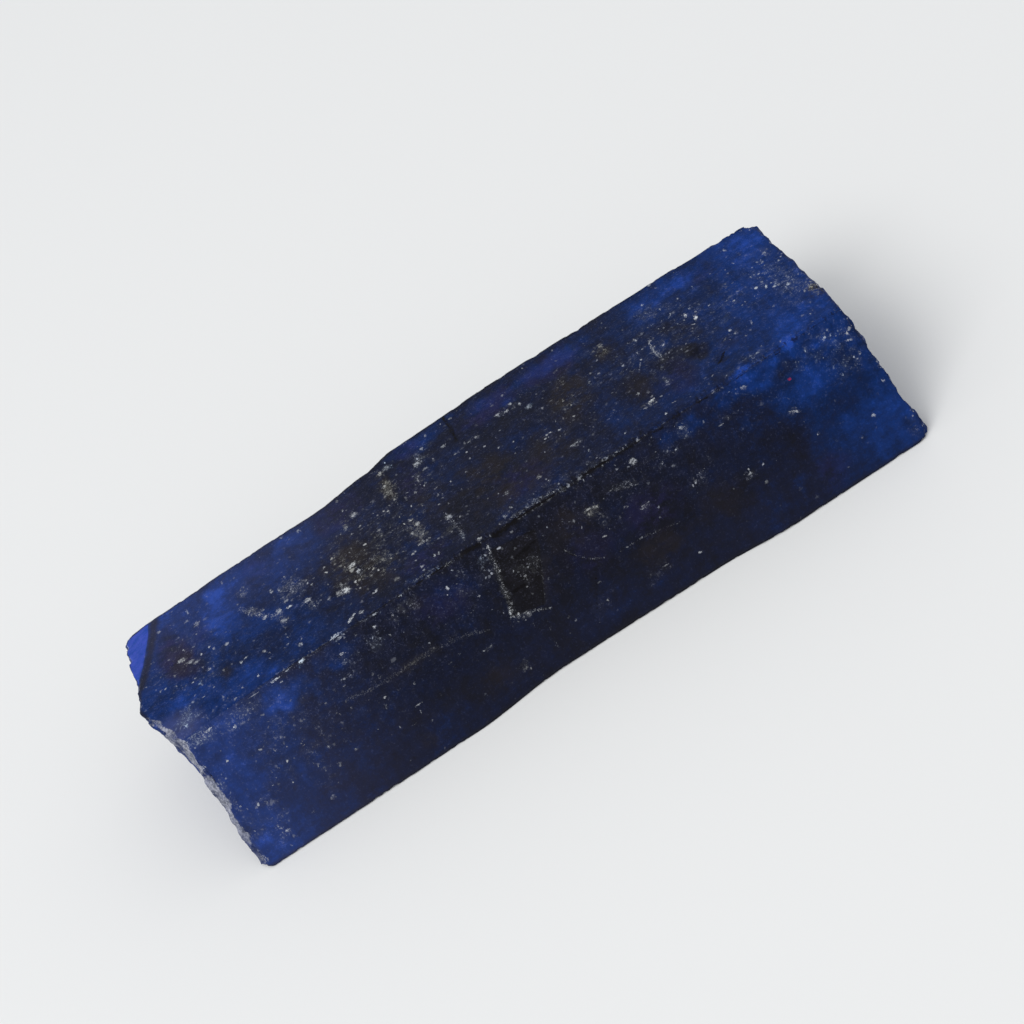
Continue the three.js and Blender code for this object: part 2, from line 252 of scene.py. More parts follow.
# Flakes end with strength and warmth as well.
FLAKES = (
    (-36, 10.6, 1.3, 0.8, -5, 0.45, 0.1), (-35.2, 9.6, 1.2, 0.6, -10, 0.4, 0.1),
    (-34.7, 9, 0.8, 0.6, 0, 0.3, 0.3), (-33.1, 14.5, 0.9, 0.9, 0, 0.4, 0.1),
    (-34, 15.8, 0.7, 0.5, 0, 0.25, 0), (-33.5, 17.1, 0.3, 1.8, 10, 0.35, -0.3),
    (-33.7, 6.9, 0.8, 0.4, -20, 0.5, 0), (-38.7, 8, 0.5, 0.4, 0, 0.4, 0),
    (-37.3, 9, 0.4, 0.8, 20, 0.25, 0.2), (-37.2, 16.9, 0.6, 0.5, 0, 0.35, 0.1),
    (-35, 5.2, 0.25, 0.9, 5, 0.4, -0.6), (-32.3, 5.4, 0.4, 0.6, 0, 0.3, 0.4),
    (-29.3, 1.5, 0.3, 0.8, 0, 0.8, -0.2), (-30.3, 4.8, 0.5, 0.6, 0, 0.75, -0.2),
    (-29.7, 5, 0.7, 0.3, 15, 0.55, -0.2), (-27.7, 4.2, 0.6, 0.5, 0, 0.45, 0),
    (-27.3, 3.6, 0.3, 0.6, 25, 0.3, 0), (-27.5, 5.6, 0.3, 0.4, 0, 0.35, 0),
    (-26.2, 8.8, 0.8, 0.5, 0, 0.6, 0.2), (-28.8, 18, 0.3, 0.8, 0, 0.3, 0.3),
    (-24.6, 8.4, 0.8, 1.2, 0, 0.45, 0.1), (-24.6, 6.8, 0.7, 0.9, 0, 0.3, 0),
    (-23.4, 8.2, 1, 0.45, -5, 0.9, -0.2), (-24.1, 2, 0.7, 0.7, 0, 0.45, 0),
    (-23.3, 4.5, 0.3, 0.4, 0, 0.4, -0.3), (-25, 4.6, 0.3, 0.4, 0, 0.35, -0.3),
    (-21.4, 7.5, 0.9, 0.8, 0, 0.7, 0.15), (-20.3, 9.3, 0.4, 0.4, 0, 0.45, 0),
    (-19.3, 5.7, 0.4, 0.7, 0, 0.4, 0), (-18.2, 5.6, 0.9, 1, 0, 0.4, 0.3),
    (-17.4, 5.4, 1.1, 1.4, 10, 0.85, 0.2), (-17.6, 6.6, 0.4, 0.9, -10, 0.5, 0.2),
    (-16.1, 5.7, 0.5, 0.6, 0, 0.6, 0.3), (-15.3, 6.9, 0.55, 0.8, 0, 1, 0),
    (-15.7, 8.3, 1.4, 0.8, 15, 0.75, 0.5), (-14.2, 6.3, 0.4, 0.7, 0, 0.5, 0.5),
    (-13.4, 5.3, 0.5, 0.4, 0, 0.8, 0.3), (-14.4, 5.1, 0.4, 0.6, 0, 0.45, 0.4),
    (-12.6, 7.7, 0.5, 0.4, 0, 0.4, 0.6), (-12.3, 2.4, 0.8, 0.8, 0, 0.2, 0.9),
    (-13, 15.4, 0.9, 0.9, 0, 0.5, 0.1), (-14.4, 14.2, 0.6, 0.9, 0, 0.45, 0.6),
    (-13.9, 19.2, 0.35, 0.9, 0, 0.5, 0), (-19, 18.4, 0.6, 0.8, 20, 0.35, -0.3),
    (-20.9, 19.1, 0.6, 0.6, 0, 0.35, 0.2), (-18.2, 1.1, 1.5, 0.45, 38, 0.8, 0.1),
    (-17.1, 1.1, 0.7, 0.8, 30, 0.5, 0), (-20.5, 0.15, 1.4, 0.5, 8, 0.8, -0.5),
    (-20.2, -0.35, 1.4, 0.3, 5, 0.5, -0.4), (-24.7, -0.2, 0.9, 0.6, 20, 1, -0.9),
    (-26.3, -0.2, 1.6, 0.15, 3, 0.6, -0.4), (-28, -0.4, 1.7, 0.28, 2, 1, -0.2),
    (-30.5, -0.5, 2.4, 0.12, 2, 0.35, -0.3), (-16.7, -1.4, 0.35, 0.6, 0, 1, -0.1),
    (-16, -0.3, 0.9, 0.3, 0, 0.6, -0.4), (-12.8, -0.1, 0.5, 0.35, 0, 0.9, -0.3),
    (-10.4, 0, 0.3, 0.25, 0, 0.7, 0), (-9.4, 1.8, 0.5, 0.5, 0, 0.4, 0), (-9.4, 1.2, 0.4, 0.5, 0, 0.4, -0.3),
    (-7.75, 2.2, 0.4, 0.55, 0, 0.9, -0.1), (-7.25, 2.1, 0.4, 0.5, 0, 0.8, -0.1),
    (-8.6, 7.3, 0.5, 0.6, 0, 0.6, 0.3), (-7.6, 8.1, 0.6, 0.9, 0, 0.5, 0.4),
    (-8.2, 5.1, 1, 0.5, 5, 0.65, 0.2), (-9.3, 4.4, 0.5, 0.4, 10, 0.5, 0.2),
    (-8.2, 9.3, 0.5, 0.7, 0, 0.4, 0.5), (-7.5, 19.3, 1, 1, 0, 0.35, -0.3),
    (-8.7, 16.7, 0.8, 0.7, 0, 0.5, 0.6), (-8.4, 19, 0.6, 0.8, 0, 0.4, 0.6),
    (-4.5, 16.9, 1, 1, 0, 0.5, -0.1), (-4, 15.4, 0.8, 0.5, 0, 0.4, 0),
    (-3.2, 18.7, 0.6, 0.8, 0, 0.35, -0.2), (-1.1, 17, 0.9, 0.5, 10, 0.5, -0.1),
    (-2.1, 20.3, 0.4, 0.5, 0, 0.4, -0.2), (-5.3, 14.3, 0.4, 0.8, 0, 0.4, 0.1),
    (-4.7, 13.3, 0.5, 0.5, 0, 0.35, 0), (-7.3, 12.9, 0.4, 0.9, 0, 0.35, 0.2),
    (-4.5, 6.3, 0.7, 1.1, 0, 0.55, -0.1), (-3, 0.5, 0.8, 0.6, 0, 0.75, 0.2),
    (-4.3, 2.1, 0.4, 0.5, 0, 0.55, -0.3), (-0.3, 14.7, 0.9, 0.3, 5, 0.45, 0),
    (1.3, 15.2, 0.8, 0.3, 8, 0.4, 0), (2.3, 15.2, 0.5, 0.5, 0, 0.35, 0),
    (5.5, 16.4, 0.6, 0.7, 0, 0.6, -0.1), (6.5, 16.1, 0.9, 0.4, 10, 0.5, 0),
    (7.3, 16.8, 0.6, 0.7, 0, 0.5, 0), (8.1, 15.9, 0.5, 0.6, 0, 0.5, -0.2),
    (8.8, 14.6, 0.9, 0.9, 0, 0.35, -0.8), (3.4, 19.3, 0.2, 0.9, -15, 0.35, -0.3),
    (1.1, 20.5, 0.5, 0.5, 0, 0.35, 0.1), (7.1, 18.8, 0.4, 0.5, 0, 0.35, 0),
    (1.8, 4.5, 0.7, 0.7, 0, 0.35, -0.1), (0.4, 1.4, 0.5, 0.7, 0, 0.5, -0.2),
    (5.5, 3.8, 0.6, 0.8, 0, 0.3, 0.6), (-1.8, 9, 0.25, 0.4, 0, 0.6, 0), (5.3, 11, 0.3, 0.3, 0, 0.6, -0.2),
    (4.5, 10.8, 0.6, 0.2, 20, 0.3, 0), (10, 8.5, 0.5, 0.45, 0, 0.6, 0.2), (9.6, 7.5, 0.3, 0.4, 0, 0.4, 0),
    (11.3, 8.5, 0.3, 0.3, 0, 0.45, 0.4), (12.1, 12.4, 0.25, 0.4, 0, 0.5, 0.4),
    (10.3, 5.1, 1.3, 0.4, -5, 0.4, 0), (11.2, 3, 0.25, 0.5, -30, 0.4, -0.2),
    (13.2, 15, 0.5, 0.5, 0, 0.4, 0.3), (15.4, 12.4, 0.35, 0.5, 0, 0.9, -0.6),
    (16.1, 13.6, 0.6, 0.4, 0, 0.35, 0.2), (18.7, 6.3, 0.4, 0.55, 20, 0.85, 0.1),
    (19.3, 4.15, 1, 0.5, 15, 0.95, 0.2), (18.4, 3.7, 0.5, 0.4, 0, 0.7, 0.2),
    (15.2, 2.1, 0.4, 0.4, 0, 0.6, -0.2), (19.7, 1.1, 0.4, 0.5, 0, 0.65, -0.1),
    (22.9, 9.5, 0.35, 0.6, 0, 0.6, -0.1), (22.9, 10.4, 0.4, 0.5, 0, 0.6, 0),
    (22.8, 11.3, 0.4, 0.7, 0, 0.65, 0), (22.9, 12.4, 0.3, 0.5, 0, 0.5, 0),
    (21.9, 14.2, 0.4, 1, 10, 0.5, -0.1), (21.8, 5.3, 0.3, 1.2, -10, 0.45, 0),
    (27.7, 13.1, 0.45, 0.8, -15, 0.95, 0), (28.4, 11.8, 0.6, 1, -20, 0.95, 0),
    (27.8, 11, 0.35, 0.4, 0, 0.7, 0), (28.3, 16.3, 0.3, 0.4, 0, 0.8, -0.1),
    (26.1, 16.4, 0.3, 0.6, 0, 0.4, -0.2), (30.3, 12.4, 0.4, 0.45, 0, 0.75, 0),
    (30.2, 6.8, 0.4, 0.5, 0, 0.75, 0), (30.4, 5.9, 0.35, 0.45, 0, 0.6, 0),
    (29.2, 6, 0.8, 0.25, 35, 0.3, 0.1), (32.4, 5.9, 0.3, 1, -10, 0.3, 0),
    (36.1, 9.7, 0.4, 0.7, -15, 0.9, -0.5), (37.2, 8.9, 0.4, 0.6, 0, 0.5, -0.2),
    (38.4, 14.6, 0.5, 0.9, 0, 0.4, 0.1), (35.5, 19, 0.4, 0.8, 0, 0.4, -0.1),
    (24.3, 14.8, 0.3, 0.3, 0, 0.4, -0.1), (14.2, -1.6, 0.9, 0.8, 0, 0.5, 0),
    (20.1, -1.4, 0.7, 0.5, 0, 0.5, 0), (11.4, -0.25, 0.4, 0.3, 0, 1, 0),
    (11.7, 0.35, 0.4, 0.45, 0, 0.9, -0.1), (13.3, 0.3, 0.4, 0.6, 0, 0.5, -0.2),
    (6.8, 0, 0.9, 0.7, 0, 0.35, -0.3), (5.8, 0.5, 0.3, 0.3, 0, 0.7, 0), (7.9, -3.3, 1.3, 0.35, 5, 0.5, 0.5),
    (8.6, -3.6, 0.5, 0.5, 0, 0.4, 0.5), (8.6, -4.3, 0.25, 0.25, 0, 0.6, 0.2),
    (7.8, -6.7, 0.8, 0.3, -15, 0.45, 0.3), (10.8, -2.9, 0.5, 0.25, 0, 0.7, 0),
    (12, -3.4, 0.5, 0.2, -10, 0.45, 0), (11.2, -5.3, 0.8, 0.35, -5, 0.3, 0.3),
    (12.6, -6.3, 0.8, 0.4, 15, 0.35, 0.2), (13.4, -6.2, 0.4, 0.3, 0, 0.4, 0),
    (19.7, -6.5, 0.3, 0.25, 0, 0.95, 0), (23.7, -3.4, 1, 0.15, 0, 0.5, 0),
    (23.7, -9.4, 0.9, 0.25, -15, 0.4, 0.1), (23.7, -9, 0.25, 0.9, -20, 0.45, 0),
    (21.4, -9.8, 0.5, 0.3, 30, 0.4, 0), (24.6, -11.1, 0.6, 0.5, 0, 0.2, 0.6),
    (15.1, -13.7, 0.6, 0.4, 0, 0.45, 0), (11.4, -12.9, 1.2, 0.2, 0, 0.35, 0),
    (4.8, -10.5, 0.6, 0.3, -10, 0.3, 0), (30.8, -6.5, 1.4, 0.35, -35, 0.6, 0.2),
    (31.7, -9.8, 0.5, 0.45, 0, 0.5, 0), (26.6, -9.8, 0.7, 0.25, 0, 0.25, 0),
    (27.6, -1.4, 0.8, 0.5, -25, 0.35, 0), (37.5, -11.4, 0.6, 0.6, 0, 0.45, -0.1),
    (40.1, -8.8, 0.4, 0.5, 0, 0.4, -0.2), (39.3, -3.3, 0.9, 0.3, -10, 0.4, 0.1),
    (39.8, -2.3, 0.8, 0.4, 20, 0.4, 0.2), (-23.2, -7.2, 0.3, 0.3, 0, 0.8, 0),
    (-20.2, -9, 0.3, 0.8, -10, 0.3, 0.1), (-17.4, -10.8, 1.2, 0.25, 5, 0.4, 0.1),
    (-18.9, -12.3, 0.8, 0.15, 0, 0.3, 0), (-8, -9.8, 0.9, 0.25, 10, 0.4, 0.1),
    (-8.8, -9.9, 0.4, 0.3, 0, 0.4, 0), (-20.9, -1.9, 0.8, 0.3, 0, 0.5, 0.1),
    (-27.6, -0.9, 0.7, 0.2, 0, 0.45, 0), (-28.6, -1.9, 0.6, 0.2, 0, 0.45, -0.2),
    (-34.1, -2.2, 0.3, 0.25, 0, 1, -0.1), (-36.4, -1, 1.2, 0.3, 10, 0.6, 0.2),
    (-35.6, -14.4, 0.7, 0.45, 0, 0.4, 0), (-32.4, -14.2, 0.7, 0.3, 0, 0.4, 0.1),
    (-29.9, -14, 0.8, 0.6, 0, 0.25, 0.2), (-27.4, -11.5, 0.6, 0.7, 0, 0.3, 0.8),
    (-27.3, -9.3, 0.4, 0.4, 0, 0.4, 0.5), (-36.2, -15.9, 0.3, 0.3, 0, 0.5, -0.1),
    (-17.9, -2.9, 0.4, 0.2, 0, 0.4, 0), (-15.8, -3, 0.3, 0.5, 20, 0.4, 0),
    (-1.5, -4.9, 0.3, 0.2, 0, 0.6, 0), (-0.9, -6.4, 0.25, 0.2, 0, 0.8, 0),
    (-1.2, -5.7, 0.9, 0.4, 20, 0.2, 0.2), (-1, -10.1, 0.6, 0.2, -15, 0.4, 0.2),
    (0.1, -0.9, 0.5, 0.4, 0, 0.4, 0), (-4.5, -8, 0.45, 1.2, -20, 0.85, 0.1),
)
# Pale scratches and dotted borders: corners, width, strength and warmth
SCRATCHES = (
    (((-2.7, -0.6), (-2.9, -2), (-3.3, -3.8), (-3.8, -6), (-4.3, -7.8), (-4.8, -8.6)), 0.55, 0.6, 0.2),
    (((-4.8, -8.6), (-3.4, -8.9), (-2.2, -9.3), (-0.8, -10)), 0.4, 0.4, 0.2),
    (((1.6, -4.1), (0.8, -5.6), (0, -7.3), (-0.8, -9)), 0.35, 0.13, 0.3),
    (((3.6, -5.6), (4.1, -6.5), (5, -7.6), (6, -8.3), (6.7, -8.6)), 0.3, 0.3, 0.5),
    (((8.2, -8.9), (10.5, -8.9), (12.5, -9.2), (14.9, -9.7)), 0.3, 0.3, 0.2),
    (
        ((-23, -6.2), (-20, -6.7), (-16, -6.8), (-13, -6.8), (-10.5, -7.2), (-8.6, -7.7), (-7.4, -8.3)),
        0.6, 0.11, 0.6,
    ),
    (((-4.4, 6), (-4.4, 4.5), (-4.2, 3), (-4.3, 1.6)), 0.5, 0.45, -0.1),
    (((-28.2, 12.5), (-27.2, 10.5), (-26, 8.9), (-24.8, 8.1)), 0.8, 0.4, 0.2),
    (((10.8, -2.9), (12.2, -3.5), (13.6, -3.9)), 0.35, 0.4, 0),
    (((22.9, 8.4), (22.7, 10.4), (22.9, 12.8)), 0.45, 0.45, 0),
    (((-14.5, 12.7), (-12, 12.5), (-10, 12.6)), 0.3, 0.2, 0.1), (((20, 9), (21, 10.4)), 0.3, 0.3, 0),
    (((23, -9.2), (24.3, -9.9)), 0.25, 0.35, 0), (((-11, -5.2), (-7, -5.8)), 0.2, 0.15, 0),
    (((-12.6, -9), (-11, -8.6)), 0.2, 0.2, 0), (((-1.8, -11), (-2.5, -14.5)), 0.3, 0.15, 0.2),
    (((26, -1), (31, -5)), 0.2, 0.12, -0.4), (((0.8, 0.6), (3.5, 0.6), (6.6, 0.5)), 0.6, 0.5, -0.2),
    (((-11, 0.6), (-8, 0.4)), 0.5, 0.35, -0.5), (((9, 0.5), (12.4, 0.4)), 0.5, 0.4, -0.2),
)
# Dark cracks, and painted shadow under the chips along the ridge: corners, width and strength
CRACKS_AND_CHIP_SHADOWS = (
    (((-5.1, 0.1), (-3.4, -0.1)), 0.8, 1), (((-1.5, -0.2), (1, 0)), 1.1, 1),
    (((1.2, 0.1), (5.8, 0.1)), 0.5, 0.85), (((9.4, 0.1), (12.2, 0)), 0.55, 0.9),
    (((-9, -0.05), (-7.6, 0)), 0.4, 0.9), (((-10.8, 0.05), (-10.1, 0)), 0.4, 0.9),
    (((-16.5, 0), (-13.4, 0.05)), 0.3, 0.6), (((-23.5, -0.1), (-21.6, -0.1)), 0.3, 0.6),
    (((12.6, -0.1), (16, -0.1)), 0.4, 0.8), (((17.5, -0.25), (18.6, -0.3)), 0.4, 0.8),
    (((23, -0.15), (24, -0.2)), 0.4, 0.8), (((25, -0.3), (29, -0.2)), 0.4, 0.4),
    (((30, -0.3), (33, -0.4)), 0.4, 0.4), (((36.6, 0), (37.6, 0)), 0.4, 0.6),
    (((0.5, 21.5), (0.6, 19), (0.4, 16.5)), 0.9, 0.7), (((-39.1, -3), (-38.8, -5), (-38.8, -8)), 0.4, 0.5),
    (((3.6, -5.9), (5, -7.9), (6.7, -8.9)), 0.4, 0.5), (((-3, -1), (-3.6, -4), (-4.6, -8)), 0.5, 0.4),
    (((27, 3.2), (28.2, 4.2)), 0.5, 0.8), (((-3, -6.4), (-1.6, -6.4)), 0.6, 0.9),
    (((-1, -3.5), (1.4, -3.1)), 0.9, 0.7), (((25.8, 5.4), (26.6, 8.4)), 0.9, 0.35),
    (((30.4, 3), (31, 4.6)), 0.4, 0.4), (((5, -9.5), (3, -13)), 0.8, 0.4),
)
# The soft band of painted shadow beside the clean facet, and on along the rim: corners and width
SHADOW_BANDS = (
    (((-37, 19.8), (-37.6, 17.8), (-38.5, 15.6), (-39.4, 13.6), (-40.3, 11.8), (-41.2, 10.2)), 1.8),
    (((-41.4, 11), (-41.7, 9.5), (-42.3, 7.5), (-41.9, 5.5)), 1.5),
)
# The clean facet at the left far corner, and the sunken window on the near face: their
# corners in turn, then how deep the window lies and how wide its sloping wall is
# The facet's bright royal blue is painted light that shines through the thin corner.
TIP_FACET = (
    (-43, 20), (-37.6, 20), (-38.2, 17.5), (-39.1, 15.3), (-40, 13.2), (-40.8, 11.7), (-41.6, 10.6),
    (-43, 10.2),
)
WINDOW = ((-2.7, -1.2), (-4.8, -8.7), (-0.9, -9.5), (0.2, -7.2), (1.8, -4), (2.4, -1.9))
WINDOW_DEPTH = 0.16
WINDOW_WALL = 0.3
# Hollows: length, width and depth
HOLLOWS = (
    (-35, 7, 5, 4, 0.18), (-30, 15, 7, 5, 0.15), (26.5, 6.2, 3, 2, 0.2), (27.6, 3.6, 1.6, 1.1, 0.2),
    (8, 9, 9, 5, 0.12), (-15, -11, 8, 4, 0.12), (30, -8, 9, 6, 0.14), (12, -6, 6, 4, 0.1),
)
# The one small red speck, as an oval without a strength
RED_SPECK = (32, -3.3, 0.5, 0.4, 0)
# Where the left break's grey surface begins, as (distance from the ridge, place along the bar)
LEFT_STRIP = (
    (-16.5, -41.5), (-14.5, -40), (-12.5, -39.2), (-10.3, -39.5), (-9, -38.9), (-6, -38.8), (-4, -39.1),
    (-2, -39.3), (0, -39.2), (1.5, -39.5), (3.5, -40.4), (5.4, -41.3), (6.6, -43),
)
# How gritty the near face is below the ridge, as (place along the bar, share)
NEAR_GRIT = ((-40, 1), (12, 1), (18, 0.6), (40, 0.5))
# How strongly pale chips and painted notch shadows alternate along the ridge, as (place along the bar,
# share)
RIDGE_TEETH = (
    (-40, 0.1), (-30, 0.12), (-20, 0.2), (-14, 0.4), (-8, 0.6), (-1, 0.9), (14, 1), (19, 0.6), (26, 0.45),
    (40, 0.4),
)
# How pale the ridge's chips are, as fresh break and as painted highlight, as (place along the bar, share)
RIDGE_FRESH_AND_HIGHLIGHT = (
    (-40, 0.2), (-32, 0.25), (-26, 0.5), (-9, 0.5), (-4, 0.2), (14, 0.25), (18, 0.1), (40, 0.1),
)
# How high the material's own grain stands
GRAIN_BUMP = 0.1
# How wide the painted shade along the edges is: on the top along the far edge, on the near face
# along the foot, on the far side below the top, and at the right end
EDGE_SHADE_WIDTH = {"top": 0.6, "near": 0.8, "far": 2.5, "right": 0.55}

# ----- The stage, in millimetres and degrees -----
CAMERA_TARGET = (1.29, -2.5, 12)
CAMERA_DISTANCE = 240.3
CAMERA_ELEVATION = 41
CAMERA_ROLL = 33
CAMERA_LENS = 82.1
CAMERA_CLIP = (10, 10000)
LAMP_TOWARD = (-0.5, -0.4, 0.77)
LAMP_DISTANCE = 1600


def eased(value):
    """Runs smoothly from 0 to 1, and stays at either outside them."""
    value = np.clip(value, 0, 1)
    return value * value * (3 - 2 * value)


def read_along(places, x):
    """Reads a value between the listed places, easing from one to the next."""
    at, values = np.array(places, float).T
    after = np.clip(np.searchsorted(at, x), 1, len(at) - 1)
    share = eased((x - at[after - 1]) / (at[after] - at[after - 1]))
    return values[after - 1] + (values[after] - values[after - 1]) * share


def unit(vector):
    """The vector made one long."""
    vector = np.array(vector, float)
    return vector / np.linalg.norm(vector)


def pressed(points, at, facing):
    """The points, with those outside a flat pressed back onto it."""
    facing = unit(facing)
    return points - np.outer(np.maximum((points - at) @ facing, 0), facing)


def random_heights(places, octaves=1, finer=2.1):
    """Smooth random heights at these places. Each octave's waves are that much finer."""
    if octaves == 1:
        return np.array([noise.noise(place) for place in places.tolist()])
    return np.array([noise.fractal(place, 1.0, finer, octaves) for place in places.tolist()])


def divided_box(rows, fine_sides):
    """Points, counted in rows, and faces of a box. Sides that aren't fine keep every second row."""
    number, faces = {}, []
    for name in sorted(SIDES, key=lambda side: side not in fine_sides):
        axis, end = SIDES[name]
        first, second = [(1, 2), (2, 0), (0, 1)][axis]
        step = 1 if name in fine_sides else 2
        for u in range(0, rows[first], step):
            for v in range(0, rows[second], step):
                outline = []
                for du, dv in ((0, 0), (1, 0), (2, 0), (2, 1), (2, 2), (1, 2), (0, 2), (0, 1)):
                    place = [end * rows[axis]] * 3
                    place[first] = u + du * step / 2
                    place[second] = v + dv * step / 2
                    place = tuple(place)
                    halfway = du == 1 or dv == 1
                    if not halfway:
                        number.setdefault(place, len(number))
                    if place in number:
                        outline.append(number[place])
                faces.append(outline if end else outline[::-1])
    return np.array(list(number)), faces


class Carving:
    """The stone while it is cut: its points in millimetres, and what is painted on each."""

    def __init__(self, sizes):
        self.edge_wear = sizes.edge_wear / MM
        lattice, self.faces = divided_box(ROWS, FINE_SIDES)
        share = lattice / np.array(ROWS) * 2 - 1
        self.on = {name: share[:, axis] == (1 if end else -1) for name, (axis, end) in SIDES.items()}
        self.upper = self.on["top"] | self.on["near"]
        self.ends = self.on["left"] | self.on["right"]
        self.points = self.shape(share)
        # These look into the points, so they follow every cut. The distance from the ridge doesn't.
        self.along, self.across, self.up = self.points.T
        down = -np.hypot(self.across, self.up - RIDGE_HEIGHT)
        self.from_ridge = np.select([self.on["top"], self.on["near"]], [self.across, down], FAR_AWAY)
        # How near each point is to the pale lip of a hollow or a rib on a broken end. The ends' relief is
        # added to it later, and it is painted as lighter crests and darker hollows, which is painted shade.
        self.lips_and_relief_shade = np.zeros(len(self.points))
        self.paint = {}

    def shape(self, share):
        """Turns places on a box from -1 to 1 into places on the bar's six main faces."""
        half = np.array([HALF_LENGTH, HALF_WIDTH, RIDGE_HEIGHT / 2])
        crowding = np.array(CROWDING)
        block = half * ((1 - crowding) * share + crowding * np.sin(share * math.pi / 2))
        inner = np.clip(block, self.edge_wear - half, half - self.edge_wear)
        facing = block - inner
        length = np.linalg.norm(facing, axis=1, keepdims=True)
        block = inner + facing / np.maximum(length, TINY) * self.edge_wear
        along, across, up = block.T
        across = (across / HALF_WIDTH + 1) / 2
        up = up / RIDGE_HEIGHT + 0.5
        near = -read_along(NEAR_FOOT_RUN, along) * (1 - up)
        far = read_along(TOP_WIDTH, along) - FAR_LEAN * (1 - up)
        y = near + (far - near) * across
        z = up * (RIDGE_HEIGHT - TOP_FALL * across)
        left = read_along(LEFT_REACH, y) - LEFT_BASE_REACH
        left = LEFT_BASE_REACH + left * (np.maximum(z, 0) / RIDGE_HEIGHT) ** LEFT_DRAW_IN
        right = read_along(RIGHT_REACH, y) + RIGHT_SLANT * (RIDGE_HEIGHT - z)
        x = along / HALF_LENGTH * np.where(along < 0, left, right)
        return np.column_stack([x, y, z])

    def facing(self):
        """The way that the surface faces at each point."""
        total = np.zeros_like(self.points)
        for size in sorted({len(face) for face in self.faces}):
            faces = np.array([face for face in self.faces if len(face) == size])
            a, b, c, d = (self.points[faces[:, k * size // 4]] for k in range(4))
            normal = np.cross(c - a, d - b)
            for k in range(size):
                np.add.at(total, faces[:, k], normal)
        return total / np.maximum(np.linalg.norm(total, axis=1, keepdims=True), TINY)

    def waves(self, width, seed, octaves=1):
        """Smooth random heights over the stone, with waves this wide."""
        return random_heights(self.points / width + seed, octaves)

    @staticmethod
    def place_on(x, from_ridge):
        """The point on the top or the near face at this distance from the ridge."""
        if from_ridge > 0:
            width = read_along(TOP_WIDTH, x)
            return np.array([x, from_ridge, RIDGE_HEIGHT - TOP_FALL * from_ridge / width])
        run = read_along(NEAR_FOOT_RUN, x)
        down = -from_ridge / math.hypot(run, RIDGE_HEIGHT)
        return np.array([x, -run * down, RIDGE_HEIGHT * (1 - down)])

    def oval(self, x, from_ridge, length, width, turn=0):
        """1 in the middle of an oval, 0 at its edge, and -1 at twice its size."""
        dx, dy = self.along - x, self.from_ridge - from_ridge
        c, s = math.cos(math.radians(turn)), math.sin(math.radians(turn))
        u, v = (dx * c + dy * s) / (length / 2), (dy * c - dx * s) / (width / 2)
        return np.maximum(1 - np.hypot(u, v), -1)

    def line(self, corners, width):
        """1 along a line through the corners, 0 at half its width, and -1 at its full width."""
        here = np.column_stack([self.along, self.from_ridge])
        nearest = np.full(len(here), FAR_AWAY)
        for start, end in zip(np.array(corners[:-1], float), np.array(corners[1:], float)):
            step = end - start
            share = np.clip((here - start) @ step / (step @ step), 0, 1)
            away = here - start - share[:, None] * step
            nearest = np.minimum(nearest, np.hypot(away[:, 0], away[:, 1]))
        return np.maximum(1 - nearest / (width / 2), -1)

    def within(self, corners):
        """How many millimetres inside an outline each point is."""
        here = np.column_stack([self.along, self.from_ridge])
        corners = np.array(corners, float)
        middle = corners.mean(axis=0)
        least = np.full(len(here), FAR_AWAY)
        for start, end in zip(corners, np.roll(corners, -1, axis=0)):
            step = unit(end - start)
            inward = np.array([-step[1], step[0]])
            inward = inward * math.copysign(1, (middle - start) @ inward)
            least = np.minimum(least, (here - start) @ inward)
        return least

    def add_paint(self, name, amount, bare=0):
        """Adds to what is painted under this name, where the amount is greater."""
        self.paint[name] = np.maximum(self.paint.get(name, bare), amount)

    def scoop(self, at, facing, length, width, depth):
        """Bites a shallow bowl out of the surface, and says how deep it is at each point."""
        facing = unit(facing)
        radius = ((width / 2) ** 2 + depth**2) / (2 * depth)
        near = np.flatnonzero(np.abs(self.along - at[0]) < length)
        squash = np.array([width / length, 1, 1])
        place = (self.points[near] - at) * squash - facing * (radius - depth)
        height = place @ facing
        away = (place**2).sum(axis=1)
        floor = -np.sqrt(np.maximum(radius**2 - (away - height**2), 0))
        cut = np.where(away < radius**2, height - floor, 0)
        self.points[near] -= np.outer(cut, facing)
        bitten = np.zeros(len(self.points))
        bitten[near] = cut
        return bitten


# ----- Cutting -----
def cut_flats(stone):
    """The breaks, the sunken window, and the hollows of the top and the near face."""
    for at, facing in BREAKS.values():
        stone.points[:] = pressed(stone.points, at, facing)
    wobble = 0.12 * stone.waves(0.8, 5, 2)
    sunken = WINDOW_DEPTH * eased((stone.within(WINDOW) + wobble) / WINDOW_WALL + 0.5)
    stone.points -= np.outer(sunken, unit(OUTWARD["near"]))
    for x, from_ridge, length, width, depth in HOLLOWS:
        facing = OUTWARD["top" if from_ridge > 0 else "near"]
        stone.scoop(stone.place_on(x, from_ridge), facing, length, width, depth)


def hollow_breaks(stone):
    """Shell-shaped hollows on the broken sides, each with a patchy pale lip, which is also painted lighter
    blue as painted shade.
    """
    patchy = eased(0.35 + 1.6 * stone.waves(3.4, 97, 3))
    for side, place, height, width, depth in BREAK_HOLLOWS:
        beside = stone.along if side == "far" else stone.across
        away = np.hypot(beside - place, stone.up - height)
        middle = stone.points[np.argmin(np.where(stone.on[side], away, np.inf))]
        bitten = stone.scoop(middle, OUTWARD[side], width, width, depth)
        lip = 1 - np.abs(bitten / depth - LIP_DEPTH) / LIP_DEPTH
        stone.lips_and_relief_shade = np.maximum(stone.lips_and_relief_shade, patchy * lip)


